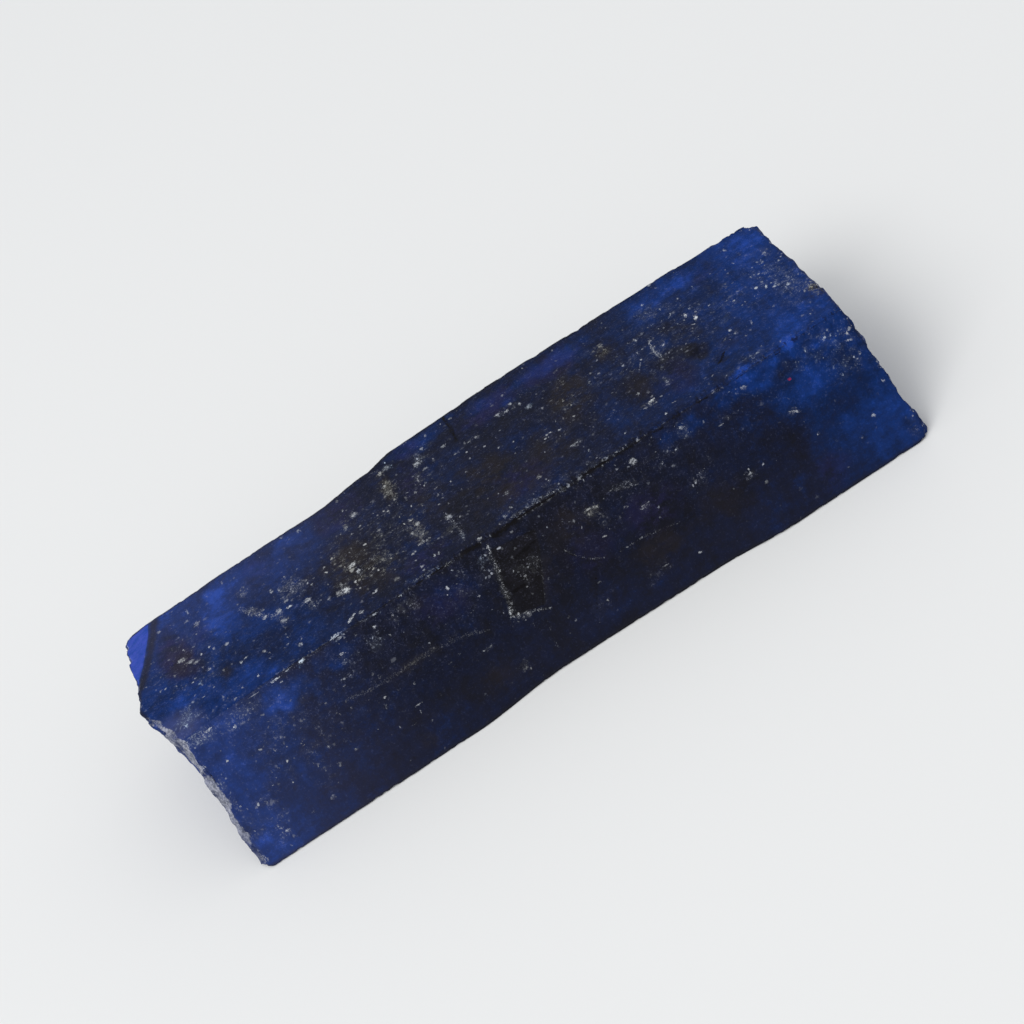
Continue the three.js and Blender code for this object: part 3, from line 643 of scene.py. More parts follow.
def serrate_ridge(stone):
    """Wears the ridge back to a narrow broken bevel of changing width."""
    facing = unit(np.array(OUTWARD["near"]) + np.array(OUTWARD["top"]))
    along_only = stone.points * (1, 0, 0)
    coarse = random_heights(along_only / 1.6 + 8, 3, 2.2)
    fine = random_heights(along_only / 0.45 + 3)
    wear = RIDGE_WEAR + RIDGE_COARSE_WEAR * np.maximum(coarse, 0) + RIDGE_FINE_WEAR * np.maximum(fine, 0)
    outside = (stone.points - (0, 0, RIDGE_HEIGHT)) @ facing + wear
    cut = np.where(stone.upper, np.clip(outside, 0, RIDGE_MOST_WEAR), 0)
    stone.points -= np.outer(cut, facing)
    # The coarse waves, taken from the other end, say which chips are fresh. Their pale is also painted
    # highlight along the edge.
    fresh_and_highlight = np.clip(0.35 + 1.2 * coarse[::-1], 0.1, 0.8) * read_along(RIDGE_FRESH_AND_HIGHLIGHT, stone.along)
    stone.add_paint("chip", np.clip(cut / 0.08, 0, 1) * fresh_and_highlight)


def edge_line(stone, sides):
    """A function that gives a place along the edge between two sides."""
    corner = np.zeros(3)
    for side in sides:
        axis, end = SIDES[side]
        corner[axis] = 1 if end else -1
    free = int(np.flatnonzero(corner == 0)[0])

    def place(share):
        where = corner.copy()
        where[free] = share
        at = stone.shape(where[None])
        for point, facing in BREAKS.values():
            at = pressed(at, point, facing)
        return at[0]

    return place


def chip_edges(stone, chip_depth):
    """Bites chips out of every edge, some of them fresh and pale, the pale also a painted highlight on the
    edge.
    """
    rng = np.random.default_rng(RANDOM_SEED)
    for one, other, count, least, greatest in EDGE_CHIPS.values():
        place = edge_line(stone, (one, other))
        facing = unit(np.array(OUTWARD[one]) + np.array(OUTWARD[other]))
        for _ in range(count):
            share = rng.uniform(-1, 1)
            length = least + (greatest - least) * rng.random() ** 3
            width = length * rng.uniform(*CHIP_WIDTH)
            depth = width * rng.uniform(*CHIP_DEPTH) * chip_depth
            lift = rng.uniform(0, 0.6) * depth
            pale = rng.random()
            bitten = stone.scoop(place(share) + facing * lift, facing, length, width, depth)
            stone.add_paint("chip", np.clip(bitten / 0.06, 0, 1) * pale**3)


def shell_ribs(stone):
    """Ribs on the broken ends, which spread like ripples from one place at the foot."""
    start = np.where(stone.along < 0, RIBS_START["left"], RIBS_START["right"])
    from_start = np.hypot(stone.across - start, stone.up)
    phase = 2 * math.pi * from_start / RIB_SPACING + 5 * stone.waves(7, 51)
    return RIB_HEIGHT * np.sin(phase) * eased(1.5 * stone.waves(5, 53) + 0.5)


def roughen(stone, sizes):
    """Waves on every face, rougher on the broken ends, and shallow hollows under the stone."""
    facing = stone.facing()
    ends = np.abs(facing[:, 0])
    swells = 0.12 * stone.waves(11, 3) + 0.05 * stone.waves(3.2, 9, 3)
    grain = stone.waves(0.9, 15, 3) * sizes.grain_height / MM
    rough = sizes.end_roughness / MM * (stone.waves(2.8, 31, 4) + 0.5 * np.abs(stone.waves(1.2, 47, 2)))
    rough *= 0.5 + 0.5 * eased((RIDGE_HEIGHT - stone.up) / 3)
    rough += shell_ribs(stone)
    # The ends' relief goes into the same field, to be painted as lighter crests and darker hollows, painted
    # shade.
    stone.lips_and_relief_shade += 3 * ends * rough
    base = stone.on["base"]
    hollow = np.maximum(0, 1.1 * stone.waves(9, 40) - 0.12) + 0.15 * np.abs(grain)
    stone.points += facing * np.where(base, 0, swells + grain + ends * rough)[:, None]
    stone.up[:] = np.maximum(stone.up, 0) + np.where(base, hollow, 0)


# ----- Painting: each name becomes an attribute of the mesh, which the material reads -----
def paint_light(stone):
    """How blue the stone is: most at the ends, least in the middle of the bar. Much of the blue is painted
    light that shines through the thin ends, and on the broken ends painted shade makes crests lighter and
    hollows darker.
    """
    top, near = read_along(TOP_LIGHT, stone.along), read_along(NEAR_LIGHT, stone.along)
    light = np.select([stone.on["near"], stone.on["top"]], [near, top], 0.6 * near + 0.4 * top)
    wobble = 0.7 * stone.waves(3.4, 83, 4)
    for patches, sign in ((LIGHT_PATCHES, 1), (SHADE_PATCHES, -1)):
        for *oval, strength in patches:
            light = light + sign * strength * eased((stone.oval(*oval) + wobble) * 1.1)
    # Painted shade on the broken ends: lighter blue on the lips and crests, darker in the hollows.
    stone.paint["light"] = light + 0.2 * (stone.lips_and_relief_shade - 0.2) * stone.ends


def paint_stains(stone):
    """Violet and brown stains, the window, the clean facet and the red speck."""
    wobble = 0.3 * stone.waves(1.6, 71, 3)
    for name, ovals in (("violet", VIOLET_PATCHES), ("brown", BROWN_PATCHES)):
        for *oval, strength in ovals:
            stone.add_paint(name, strength * eased((stone.oval(*oval) + wobble) * 1.4))
    stone.paint["window"] = np.clip(stone.within(WINDOW) / 0.5, -1, 1)
    stone.paint["tip"] = np.clip(stone.within(TIP_FACET) / 0.5, -1, 1)
    stone.paint["speck"] = stone.oval(*RED_SPECK)


def paint_edge_shade(stone):
    """Painted shade along the far edge, the foot and the right end, and painted shadow in the bands on the
    left.
    """
    to_far_edge = read_along(TOP_WIDTH, stone.along) - stone.from_ridge
    to_foot = stone.from_ridge + np.hypot(read_along(NEAR_FOOT_RUN, stone.along), RIDGE_HEIGHT)
    distances = {"top": to_far_edge, "near": to_foot, "far": RIDGE_HEIGHT - TOP_FALL - stone.up}
    rims = [1 - distance / EDGE_SHADE_WIDTH[side] for side, distance in distances.items()]
    rim = np.select([stone.on[side] for side in distances], rims, -1)
    right_end = read_along(RIGHT_REACH, stone.across) + RIGHT_SLANT * (RIDGE_HEIGHT - stone.up)
    at_right = EDGE_SHADE_WIDTH["right"] - (right_end - stone.along)
    rim = np.maximum(rim, np.where(stone.upper, at_right, -1))
    stone.paint["rim"] = np.clip(rim, -1, 1)
    for corners, width in SHADOW_BANDS:
        stone.add_paint("rim", stone.line(corners, width))


def paint_breaks(stone):
    """The grey of the broken ends, and of the strip beside the left one on the upper faces."""
    wobble = 0.3 * stone.waves(1.6, 71, 3)
    strip = (read_along(LEFT_STRIP, stone.from_ridge) - stone.along + wobble) / 0.5
    strip = np.where(stone.upper, strip, -1)
    to_near = stone.across + read_along(NEAR_FOOT_RUN, stone.along) * (1 - stone.up / RIDGE_HEIGHT)
    near_edge = stone.on["left"] * eased(stone.up / 6)
    worn = 0.6 * stone.lips_and_relief_shade + 1.1 * stone.waves(3.1, 91, 4) - 0.2 + near_edge * eased(1 - to_near / 4)
    stone.paint["broken"] = np.clip(np.where(stone.ends, worn, strip), -1, 1)
    stone.paint["frost"] = np.where(stone.ends, 0.22 + 0.6 * near_edge * eased(1.5 - to_near / 4), 0.8)


def paint_film(stone):
    """The haze of fine dust, most of it on the left, the grit, and the ridge's broken teeth with the
    painted shadow between them.
    """
    over_top = 2 * eased((stone.from_ridge - 6) / 12) * eased((-8 - stone.along) / 13)
    over_top += 5 * eased(1.5 * stone.oval(-39.4, 1.2, 9, 7))
    elsewhere = 1.8 * eased((-14 - stone.along) / 22) + 0.35 * eased((-8 - stone.from_ridge) / 6)
    stone.paint["haze"] = np.where(stone.on["top"], over_top, elsewhere)
    down_near = 0.12 + 0.4 * eased(1 + stone.from_ridge / 12) * read_along(NEAR_GRIT, stone.along)
    stone.paint["grit"] = np.select([stone.on["near"], stone.on["top"]], [down_near, 0.42], 0.3)
    beside = np.where(stone.from_ridge > 0, stone.from_ridge / 1.3, -stone.from_ridge / 0.6)
    stone.paint["teeth"] = np.clip(1 - beside, -1, 1) * read_along(RIDGE_TEETH, stone.along)


def paint_dust(stone):
    """Where dust gathers, and how warm its colour is there."""
    wobble = 0.5 * stone.waves(1.7, 77, 4)
    dust, warmth = np.zeros((2, len(stone.points)))
    most = np.full(len(stone.points), 0.1)
    for *oval, strength, warm in DUST_CLOUDS:
        amount = strength * eased((stone.oval(*oval) + wobble) * 1.25)
        dust = np.maximum(dust, amount)
        warmth = warmth + warm * amount
        most = most + amount
    stone.paint["dust"] = np.where(stone.upper, dust, 0.5 * eased(2 * stone.waves(6, 57, 3)))
    stone.paint["warmth"] = np.where(stone.upper, warmth / most, stone.waves(9, 63) + 0.1)


def paint_flakes(stone):
    """The shapes of flakes, scratches, and cracks with painted shadow under the ridge's chips, with the
    strength and warmth of each.
    """
    flakes = [(stone.oval(*oval), light, warm) for *oval, light, warm in FLAKES]
    scratches = [(stone.line(corners, width), light, warm) for corners, width, light, warm in SCRATCHES]
    for name, marks in (("scratch", scratches), ("flake", flakes)):
        shape, strength = np.full(len(stone.points), -1.0), np.zeros(len(stone.points))
        for amount, light, warm in marks:
            here = amount > shape
            shape, strength = np.where(here, amount, shape), np.where(here, light, strength)
            stone.paint["warmth"] = np.where(here, warm, stone.paint["warmth"])
        stone.paint[name] = shape
        stone.paint[name + "_strength"] = strength
    for corners, width, strength in CRACKS_AND_CHIP_SHADOWS:
        stone.add_paint("crack", stone.line(corners, width) + strength - 1, -1)


def make_stone_mesh(sizes):
    """Cuts and paints the stone, and returns its mesh, in metres, where the frame has it."""
    stone = Carving(sizes)
    cut_flats(stone)
    hollow_breaks(stone)
    for paint in (paint_stains, paint_edge_shade, paint_breaks, paint_film, paint_dust, paint_flakes):
        paint(stone)
    serrate_ridge(stone)
    roughen(stone, sizes)
    chip_edges(stone, sizes.chip_depth)
    paint_light(stone)
    mesh = bpy.data.meshes.new("sapphire")
    low, high = (np.array(corner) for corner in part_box("sapphire"))
    base = (*(low + high)[:2] / 2, low[2])
    points = (stone.points - (*BAR_MIDDLE, stone.up.min())) * MM + base
    mesh.from_pydata(points.tolist(), [], stone.faces)
    mesh.polygons.foreach_set("use_smooth", [True] * len(mesh.polygons))
    for name, amount in stone.paint.items():
        layer = mesh.attributes.new(name, "FLOAT", "POINT")
        layer.data.foreach_set("value", np.asarray(amount, np.float32))
    mesh.update()
    return mesh


# ----- Material -----
class Signal:
    """One output of a node. Arithmetic on it adds Math nodes."""

    def __init__(self, shader, socket):
        self.shader = shader
        self.socket = socket

    def __getitem__(self, name):
        """Another output of the same node."""
        return Signal(self.shader, self.socket.node.outputs[name])

    def maths(self, operation, first, second):
        return self.shader.node("ShaderNodeMath", {0: first, 1: second}, operation=operation)

    def __add__(self, other):
        return self.maths("ADD", self, other)

    def __sub__(self, other):
        return self.maths("SUBTRACT", self, other)

    def __rsub__(self, other):
        return self.maths("SUBTRACT", other, self)

    def __mul__(self, other):
        return self.maths("MULTIPLY", self, other)

    def __pow__(self, other):
        return self.maths("POWER", self, other)

    def __or__(self, other):
        """The greater of the two."""
        return self.maths("MAXIMUM", self, other)

    __radd__ = __add__
    __rmul__ = __mul__


# A Mix node's sockets when it mixes colours
MIX_SHARE, MIX_FIRST, MIX_SECOND, MIX_RESULT = 0, 6, 7, 2


class Shader:
    """A material that is built node by node."""

    def __init__(self, name):
        self.material = bpy.data.materials.new(name)
        self.material.use_nodes = True
        self.tree = self.material.node_tree
        self.tree.nodes.clear()

    def node(self, kind, inputs=None, **settings):
        """Adds a node: sets its settings first, then the values or links of its sockets."""
        made = self.tree.nodes.new(kind)
        for name, value in settings.items():
            if name == "stops":
                self.set_stops(made.color_ramp, value)
            else:
                setattr(made, name, value)
        for name, value in (inputs or {}).items():
            if isinstance(value, Signal):
                self.tree.links.new(value.socket, made.inputs[name])
            elif made.inputs[name].type == "RGBA":
                made.inputs[name].default_value = (*value, 1)
            else:
                made.inputs[name].default_value = value
        shown = [output for output in made.outputs if output.enabled]
        return Signal(self, shown[0]) if shown else None

    @staticmethod
    def set_stops(ramp, stops):
        while len(ramp.elements) < len(stops):
            ramp.elements.new(1)
        for element, (place, colour) in zip(ramp.elements, stops):
            element.position = place
            element.color = (*colour, 1)

    def painted(self, name):
        """What is painted on the mesh under this name."""
        return self.node("ShaderNodeAttribute", attribute_name=name)["Fac"]

    def ramp(self, value, *colours):
        """Runs through the colours, evenly spaced, as the value goes from 0 to 1."""
        stops = [(index / (len(colours) - 1), each) for index, each in enumerate(colours)]
        return self.node("ShaderNodeValToRGB", {"Fac": value}, stops=stops)["Color"]

    def noise(self, place, scale, detail, roughness):
        """Smooth noise round 0, with waves of one millimetre at a scale of 1."""
        values = {"Vector": place, "Scale": scale, "Detail": detail, "Roughness": roughness}
        return self.node("ShaderNodeTexNoise", values)["Fac"] - 0.5

    def between(self, value, low, high):
        """Runs smoothly from 0 at low to 1 at high."""
        values = {"Value": value, "From Min": low, "From Max": high}
        return self.node("ShaderNodeMapRange", values, interpolation_type="SMOOTHSTEP")

    def mix(self, share, first, second):
        """Mixes two colours."""
        values = {MIX_SHARE: share, MIX_FIRST: first, MIX_SECOND: second}
        return self.node("ShaderNodeMix", values, data_type="RGBA")[MIX_RESULT]

    def vector(self, operation, first, second):
        """Vector maths, or maths on each channel of a colour."""
        return self.node("ShaderNodeVectorMath", {0: first, 1: second}, operation=operation)

    def specks(self, place, spacing, size, density, seed):
        """Irregular grains: how many show follows the density, and each has its own strength."""
        where = self.vector("ADD", place, (seed, seed * 2, seed / 2))
        cell = self.node("ShaderNodeTexVoronoi", {"Vector": where, "Scale": 1 / spacing}, feature="F1")
        chance = self.node("ShaderNodeSeparateColor", {"Color": cell["Color"]})
        reach = size / spacing
        radius = chance["Green"] * (reach * 0.6) + reach * 0.4
        spot = self.between(radius - cell["Distance"], 0, reach * 0.4)
        shown = self.between(density - chance["Red"], 0, 0.05)
        return spot * shown * (chance["Blue"] ** 3 * 0.88 + 0.12)


class StoneShader(Shader):
    """The stone's material. It is laid in layers, each over the colour that is there so far."""

    def __init__(self, name, finish):
        super().__init__(name)
        self.finish = finish
        self.place = self.vector("MULTIPLY", self.node("ShaderNodeTexCoord")["Object"], (1 / MM,) * 3)
        drift = self.node("ShaderNodeTexNoise", {"Vector": self.place, "Scale": 3.5, "Detail": 2})
        drift = self.vector("SUBTRACT", drift["Color"], (0.5, 0.5, 0.5))
        self.frayed = self.vector("ADD", self.place, self.vector("MULTIPLY", drift, (0.5, 0.5, 0.5)))
        self.lengthwise = self.vector("MULTIPLY", self.frayed, (0.65, 1, 1))
        # The same noise serves every layer, from clouds some millimetres wide to fine powder.
        self.clouds = self.noise(self.lengthwise, 0.22, 4, 0.6)
        self.mottle = self.noise(self.lengthwise, 1.3, 4, 0.7)
        self.crumble = self.noise(self.frayed, 4.2, 3, 0.75)
        self.powder = self.noise(self.place, 8, 2, 0.6)
        self.cloudy = self.clouds + self.mottle
        self.teeth = self.noise(self.vector("MULTIPLY", self.frayed, (1, 0.35, 0.35)), 2.1, 3, 0.7)

    def cover(self, share, colour):
        """Lays a colour over the stone, as thickly as the share says."""
        self.colour = self.mix(share, self.colour, colour)

    def lay_blue(self):
        """Nearly black in the middle of the bar, and lit blue towards its ends, with painted light that
        shines through the thin ends.
        """
        finish = self.finish
        streaks = self.noise(self.vector("MULTIPLY", self.frayed, (1, 0.28, 0.28)), 0.75, 4, 0.6)
        # The tone mixes the stone's own blue with painted light that shines through its thin ends.
        tone = self.painted("light") + self.clouds * 0.7 + streaks * 0.45
        tone = tone + self.mottle * 0.55 + self.crumble * 0.25
        self.colour = self.ramp(tone, finish.dark, finish.shade, finish.deep, finish.blue, finish.lit)

    def lay_stains(self):
        """Violet and brown stains, and the dark of the sunken window."""
        violet = self.painted("violet") * self.between(self.cloudy, -0.2, 0.1)
        self.cover(violet * 0.6, self.finish.violet)
        brown = self.painted("brown") * self.between(self.noise(self.frayed, 0.5, 4, 0.65), -0.16, 0.06)
        self.cover(brown, self.finish.stain)
        window = self.between(self.painted("window") + self.crumble * 0.6, 0, 0.5)
        self.cover(window * 0.85, self.finish.window)

    def lay_facet(self):
        """The clean facet at the left far corner, lit by painted light through the thin corner, where
        little dust stays, and the painted shade along the edges.
        """
        # The facet is painted royal blue, painted light that shines through the thin corner.
        tip = self.between(self.painted("tip") + self.crumble * 0.15, 0.2, 0.5)
        royal_glow = self.mix(self.between(self.cloudy, -0.2, 0.2), self.finish.lit, self.finish.tip)
        self.cover(tip, royal_glow)
        # Painted shade along the edges, and painted shadow in the bands beside the facet.
        rim = self.between(self.painted("rim") + self.crumble * 0.9, 0.1, 0.85)
        self.cover(rim * 0.8, self.finish.rim)
        self.dusty = 1 - tip * 0.85

    def lay_dust(self):
        """A haze of fine dust, then the film and the fine grit where more of it gathered."""
        finish, powder = self.finish, self.powder
        self.cover(self.painted("haze") * self.dusty * 0.03, finish.haze)
        dust = self.painted("dust") * self.dusty
        self.grit = self.painted("grit") * self.dusty
        self.gathered = self.between(self.noise(self.frayed, 1.1, 4, 0.75) + dust * 0.1, -0.06, 0.12)
        self.dust = dust * self.gathered
        warmth = self.painted("warmth") + self.clouds * 0.6
        self.grain_colour = self.ramp(warmth * 0.5 + 0.5, finish.icy, finish.grain, finish.warm)
        powdery = self.mix(self.between(self.dust, -0.2, 0.5), finish.haze, self.grain_colour)
        self.cover(self.dust * 0.08 * (0.5 + powder) + self.gathered * self.grit * 0.03, powdery)
        fine_grit = self.between(powder * 0.4 + self.crumble + self.mottle * 0.3, 0.04, 0.2)
        self.cover(fine_grit * (self.grit * 0.15 + self.dust * 0.22), powdery)

    def lay_grains(self):
        """Crumbs, and single grains of three sizes."""
        crumbly = self.crumble + self.dust * 0.15 + self.mottle * 0.1
        crumbs = self.between(crumbly, 0.1, 0.19) * self.between(self.powder, -0.1, 0.1)
        density = self.dust * 0.8 + (self.gathered * 0.26 + 0.06) * self.grit
        fine = self.specks(self.frayed, 0.38, 0.22, density, 5)
        medium = self.specks(self.lengthwise, 0.7, 0.32, density * 0.55, 11)
        coarse = self.specks(self.frayed, 1.7, 0.45, density * 0.12, 23)
        self.grains = crumbs * (self.dust * 0.45 + self.grit * 0.2) | fine | medium | coarse
        self.cover(self.grains, self.grain_colour)

    def lay_marks(self):
        """Flakes, scratches, chips and the ridge's broken teeth, all of them fresh and pale; on chips and
        teeth the pale is also painted highlight.
        """
        crumble, powder = self.crumble, self.powder
        torn = crumble * 2.2 + powder
        uneven = self.between(self.noise(self.place, 3.2, 2, 0.5) + powder * 0.4, -0.14, 0.12)
        flake = self.between(self.painted("flake") + torn, 0.08, 0.5) * (uneven * 0.8 + 0.2)
        dotted = self.between(powder + crumble * 0.4, -0.02, 0.16) * self.between(self.cloudy, -0.22, 0.1)
        scratch = self.between(self.painted("scratch") + torn * 1.2, 0.3, 0.9) * dotted
        # Chips and teeth are pale as fresh break and as painted highlight along the edges.
        chip = self.painted("chip") * self.between(crumble + powder * 0.5, 0, 0.2)
        ridge = self.painted("teeth")
        jagged = ridge * 0.3 + self.teeth + crumble * 0.5
        tooth = self.between(jagged, 0.28, 0.42) * self.between(ridge, 0.1, 0.6)
        marks = flake * self.painted("flake_strength") | scratch * self.painted("scratch_strength")
        pale = self.mix(0.55, self.grain_colour, self.finish.flake)
        self.cover(marks | chip | tooth * 0.35, pale)

    def lay_cracks(self):
        """Painted shadow in the notches between the ridge's teeth, dark cracks with painted shadow under
        the ridge's chips, and the red speck.
        """
        ridge = self.painted("teeth")
        # Painted shadow in the notches between the ridge's teeth.
        notch_shadow = self.between(ridge * 0.3 - self.teeth, 0.06, 0.3) * self.between(ridge, 0, 0.3)
        crack = self.between(self.painted("crack") + self.crumble * 2.4 + self.powder, 0.1, 0.6)
        self.cover(crack | notch_shadow * 0.8, self.finish.crack)
        speck = self.between(self.painted("speck") + self.crumble, 0, 0.4)
        self.cover(speck * 0.8, self.finish.speck)

    def lay_breaks(self):
        """The grey frost where the bar broke through."""
        patches = self.between(self.noise(self.frayed, 0.7, 5, 0.7), -0.17, 0.05)
        self.broken = self.between(self.painted("broken") + self.crumble, 0, 0.4) * patches
        worn = self.between(self.mottle + self.crumble, -0.2, 0.25)
        grey = self.mix(worn, self.finish.dull_grey, self.finish.grey)
        self.cover(self.broken * self.painted("frost"), grey)

    def join_output(self):
        """Joins the colour, roughness and grain to the surface, and the absorption to the inside."""
        finish = self.finish
        height = self.mottle + self.crumble * 0.6 + self.grains * 0.4 + self.powder * 0.25
        bump = {"Height": height, "Strength": 0.6, "Distance": GRAIN_BUMP * MM}
        output = {"Surface": self.node("ShaderNodeBsdfPrincipled", {
            "Base Color": self.colour,
            "Roughness": self.grains * 0.25 + self.broken * 0.15 + self.mottle * 0.1 + finish.roughness,
            "Normal": self.node("ShaderNodeBump", bump),
            "IOR": finish.ior,
            "Specular IOR Level": finish.specular,
            "Transmission Weight": finish.transmission,
        })}
        if finish.transmission > 0:
            inside = {"Color": finish.inner_blue, "Density": finish.inner_density}
            output["Volume"] = self.node("ShaderNodeVolumeAbsorption", inside)
        self.node("ShaderNodeOutputMaterial", output)


def sapphire_material(finish):
    """Dark satin blue with lighter ends, violet and brown stains, pale grains and grey breaks."""
    stone = StoneShader("unpolished_sapphire", finish)
    stone.lay_blue()
    stone.lay_stains()
    stone.lay_facet()
    stone.lay_dust()
    stone.lay_grains()
    stone.lay_marks()
    stone.lay_cracks()
    stone.lay_breaks()
    stone.join_output()
    return stone.material


# ----- Settings -----
def number(name, description, value, **kind):
    return FloatProperty(name=name, description=description, default=value, min=0, **kind)


def distance(name, description, millimetres):
    return number(name, description, millimetres * MM, unit="LENGTH")


def colour(name, description, value):
    kind = {"subtype": "COLOR", "min": 0, "max": 1}
    return FloatVectorProperty(name=name, description=description, default=value, **kind)


class StoneSizes(bpy.types.PropertyGroup):
    edge_wear: distance("Edge wear", "Radius that every edge is worn to", 0.3)
    end_roughness: distance("End roughness", "Height of the waves on the broken ends", 0.34)
    grain_height: distance("Grain height", "Height of the fine grain on every face", 0.03)
    chip_depth: number("Chip depth", "How deep the chips along the edges are, against their width", 1)


class StoneFinish(bpy.types.PropertyGroup):
    # From dark to lit, these blues are partly painted light that shines through the stone where it is thin.
    dark: colour("Dark", "Where no light comes through", (0.0055, 0.006, 0.0115))
    shade: colour("Shade", "The middle of the bar", (0.0052, 0.008, 0.025))
    deep: colour("Deep blue", "Between the middle and the ends", (0.003, 0.013, 0.06))
    blue: colour("Blue", "Most of both ends", (0.0035, 0.024, 0.13))
    lit: colour("Lit blue", "The brightest places at the ends", (0.01, 0.05, 0.29))
    tip: colour("Tip blue", "The clean facet at the left far corner", (0.042, 0.074, 0.42))
    violet: colour("Violet", "Violet stains", (0.022, 0.014, 0.07))
    stain: colour("Stain", "Brown stains", (0.0145, 0.0115, 0.0108))
    window: colour("Window", "The sunken window on the near face", (0.0055, 0.005, 0.006))
    speck: colour("Speck", "The one red speck", (0.3, 0.02, 0.06))
    # Rim: painted shade along the edges, and painted shadow beside the clean facet.
    rim: colour("Rim", "Dark rims along the edges", (0.01, 0.0098, 0.0105))
    # Cracks: real cracks, and painted shadow in the ridge's notches and under its chips.
    crack: colour("Cracks", "Cracks, and the notches along the ridge", (0.0035, 0.003, 0.004))
    haze: colour("Haze", "The fine film of dust on bare stone", (0.2, 0.2, 0.4))
    grain: colour("Grains", "Grains stuck in the surface", (0.4, 0.42, 0.47))
    icy: colour("Icy grains", "Grains and chips with blue in them", (0.22, 0.38, 0.62))
    warm: colour("Warm grains", "Yellowish dust", (0.38, 0.36, 0.25))
    # Flakes: also the pale of chips and teeth, which is partly painted highlight along the edges.
    flake: colour("Flakes", "Fresh chips and flakes", (0.85, 0.88, 0.9))
    grey: colour("Break", "Pale parts of the broken ends", (0.44, 0.45, 0.52))
    dull_grey: colour("Break shade", "Dull parts of the broken ends", (0.13, 0.14, 0.17))
    roughness: number("Roughness", "Roughness of a clean face", 0.5)
    ior: number("Index of refraction", "How strongly the crystal bends light", 1.77)
    specular: number("Shine", "How strongly the surface reflects", 0.03)
    transmission: number("Transmission", "Share of light that enters the crystal", 0.0)
    inner_blue: colour("Inner blue", "Colour of light that went through the crystal", (0.05, 0.12, 0.9))
    inner_density: number("Inner density", "How quickly the crystal takes up light, per metre", 300)


class StudioSettings(bpy.types.PropertyGroup):
    floor_size: distance("Floor size", "Side of the square floor", 4000)
    floor_colour: colour("Floor", "Colour of the floor", (0.8, 0.8, 0.79))
    lamp_power: number("Lamp power", "Power of the soft lamp", 13, unit="POWER")
    lamp_size: distance("Lamp size", "Side of the square lamp", 1000)
    sky_colour: colour("Surrounding colour", "Colour of the even light from all round", (0.95, 0.97, 1))
    sky_strength: number("Surrounding light", "Strength of the even light from all round", 0.73)


# ----- Stage -----
def add_floor(scene, studio):
    """A matt square floor under the stone."""
    half = studio.floor_size / 2
    corners = [(-half, -half, 0), (half, -half, 0), (half, half, 0), (-half, half, 0)]
    mesh = bpy.data.meshes.new("floor")
    mesh.from_pydata(corners, [], [(0, 1, 2, 3)])
    floor = bpy.data.objects.new("floor", mesh)
    scene.collection.objects.link(floor)
    shader = Shader("pale_floor")
    matt = {"Base Color": studio.floor_colour, "Roughness": 0.9, "Specular IOR Level": 0.1}
    surface = shader.node("ShaderNodeBsdfPrincipled", matt)
    shader.node("ShaderNodeOutputMaterial", {"Surface": surface})
    mesh.materials.append(shader.material)


def add_lamp(scene, studio):
    """A large soft lamp above, in front and to the left."""
    lamp = bpy.data.objects.new("soft_lamp", bpy.data.lights.new("soft_lamp", "AREA"))
    lamp.data.energy = studio.lamp_power
    lamp.data.size = studio.lamp_size
    toward = Vector(LAMP_TOWARD).normalized()
    turn = toward.to_track_quat("Z", "Y").to_matrix().to_4x4()
    lamp.matrix_world = Matrix.Translation(toward * LAMP_DISTANCE * MM) @ turn
    scene.collection.objects.link(lamp)


def set_world(scene, studio):
    """Even light from all round, and colours shown as they are."""
    world = bpy.data.worlds.new("even_light")
    world.use_nodes = True
    background = world.node_tree.nodes["Background"]
    background.inputs["Color"].default_value = (*studio.sky_colour, 1)
    background.inputs["Strength"].default_value = studio.sky_strength
    scene.world = world
    scene.view_settings.view_transform = "Standard"


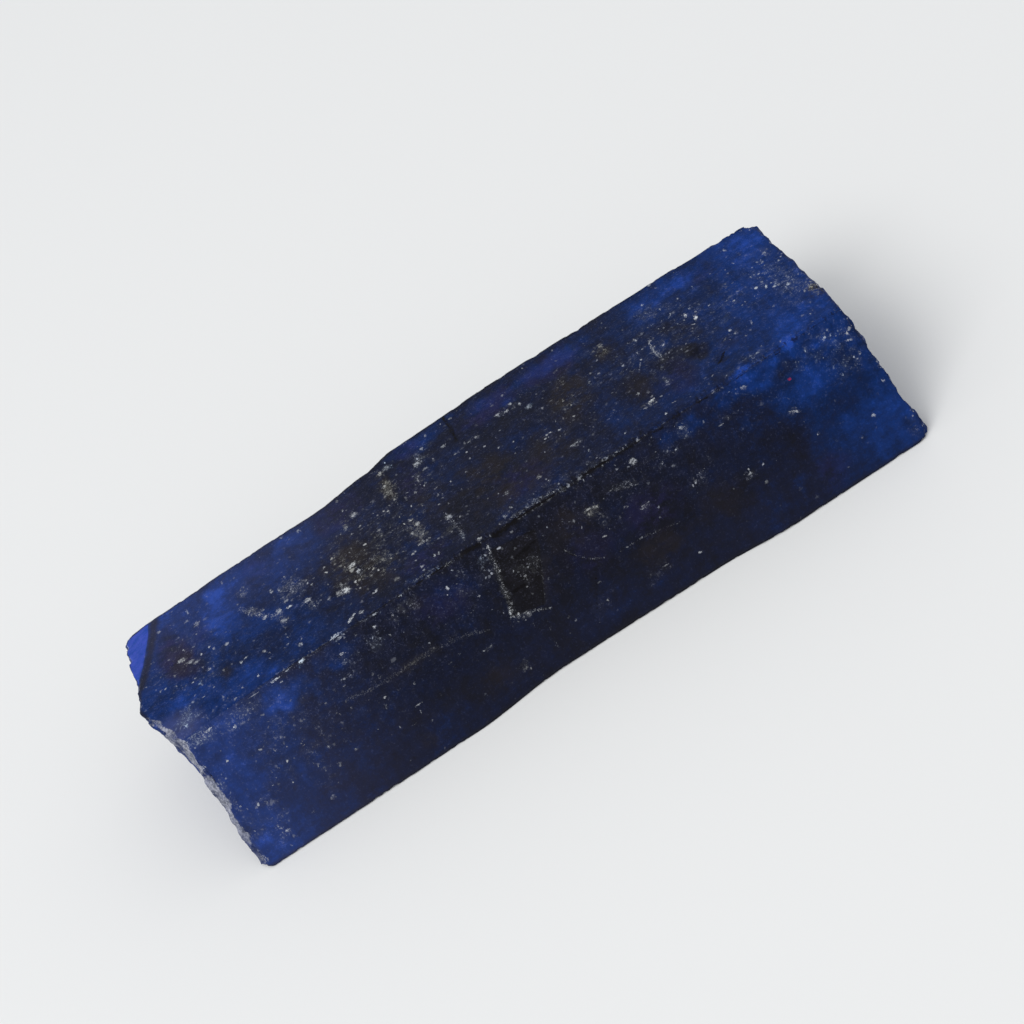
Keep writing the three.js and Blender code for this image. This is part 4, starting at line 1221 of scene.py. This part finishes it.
def set_camera(scene):
    """Puts the camera in front and above, rolled so that the bar runs up to the right."""
    elevation, roll = math.radians(CAMERA_ELEVATION), math.radians(CAMERA_ROLL)
    toward = Vector((0, -math.cos(elevation), math.sin(elevation)))
    across, up = Vector((1, 0, 0)), Vector((0, math.sin(elevation), math.cos(elevation)))
    right = across * math.cos(roll) - up * math.sin(roll)
    top = across * math.sin(roll) + up * math.cos(roll)
    camera = bpy.data.objects.new("camera", bpy.data.cameras.new("camera"))
    camera.data.lens = CAMERA_LENS
    camera.data.clip_start, camera.data.clip_end = (limit * MM for limit in CAMERA_CLIP)
    turn = Matrix((right, top, toward)).transposed().to_4x4()
    place = (Vector(CAMERA_TARGET) + toward * CAMERA_DISTANCE) * MM
    camera.matrix_world = Matrix.Translation(place) @ turn
    scene.collection.objects.link(camera)
    scene.camera = camera


# ----- Operators -----
class ROUGHSAPPHIRE_OT_cut_stone(bpy.types.Operator):
    """Cut the bar with its chips, breaks, stains and dust"""

    bl_idname = "rough_sapphire.cut_stone"
    bl_label = "Cut Stone"

    def execute(self, context):
        stone = bpy.data.objects.new("rough_sapphire", make_stone_mesh(context.scene.stone_sizes))
        context.scene.collection.objects.link(stone)
        stone.data.materials.append(sapphire_material(context.scene.stone_finish))
        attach(stone, "root")
        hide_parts("sapphire")
        return {"FINISHED"}


class ROUGHSAPPHIRE_OT_set_stage(bpy.types.Operator):
    """Set a plain pale floor, a soft lamp, an even surrounding light and the camera"""

    bl_idname = "rough_sapphire.set_stage"
    bl_label = "Set Stage"

    def execute(self, context):
        scene, studio = context.scene, context.scene.studio
        add_floor(scene, studio)
        add_lamp(scene, studio)
        set_world(scene, studio)
        set_camera(scene)
        return {"FINISHED"}


class ROUGHSAPPHIRE_PT_panel(bpy.types.Panel):
    """Lists the stone and the stage"""

    bl_idname = "ROUGHSAPPHIRE_PT_panel"
    bl_label = "Rough Sapphire"
    bl_space_type = "VIEW_3D"
    bl_region_type = "UI"
    bl_category = "Sapphire"

    def draw(self, context):
        for operator in OPERATORS:
            self.layout.operator(operator.bl_idname)


OPERATORS = (ROUGHSAPPHIRE_OT_cut_stone, ROUGHSAPPHIRE_OT_set_stage)
SETTINGS = {"stone_sizes": StoneSizes, "stone_finish": StoneFinish, "studio": StudioSettings}
CLASSES = (*SETTINGS.values(), *OPERATORS, ROUGHSAPPHIRE_PT_panel)


def register():
    for made in CLASSES:
        bpy.utils.register_class(made)
    for name, group in SETTINGS.items():
        setattr(bpy.types.Scene, name, PointerProperty(type=group))


def unregister():
    for name in SETTINGS:
        delattr(bpy.types.Scene, name)
    for made in reversed(CLASSES):
        bpy.utils.unregister_class(made)


def main():
    register()
    bpy.ops.rough_sapphire.cut_stone()
    bpy.ops.rough_sapphire.set_stage()


if __name__ == "__main__":
    main()
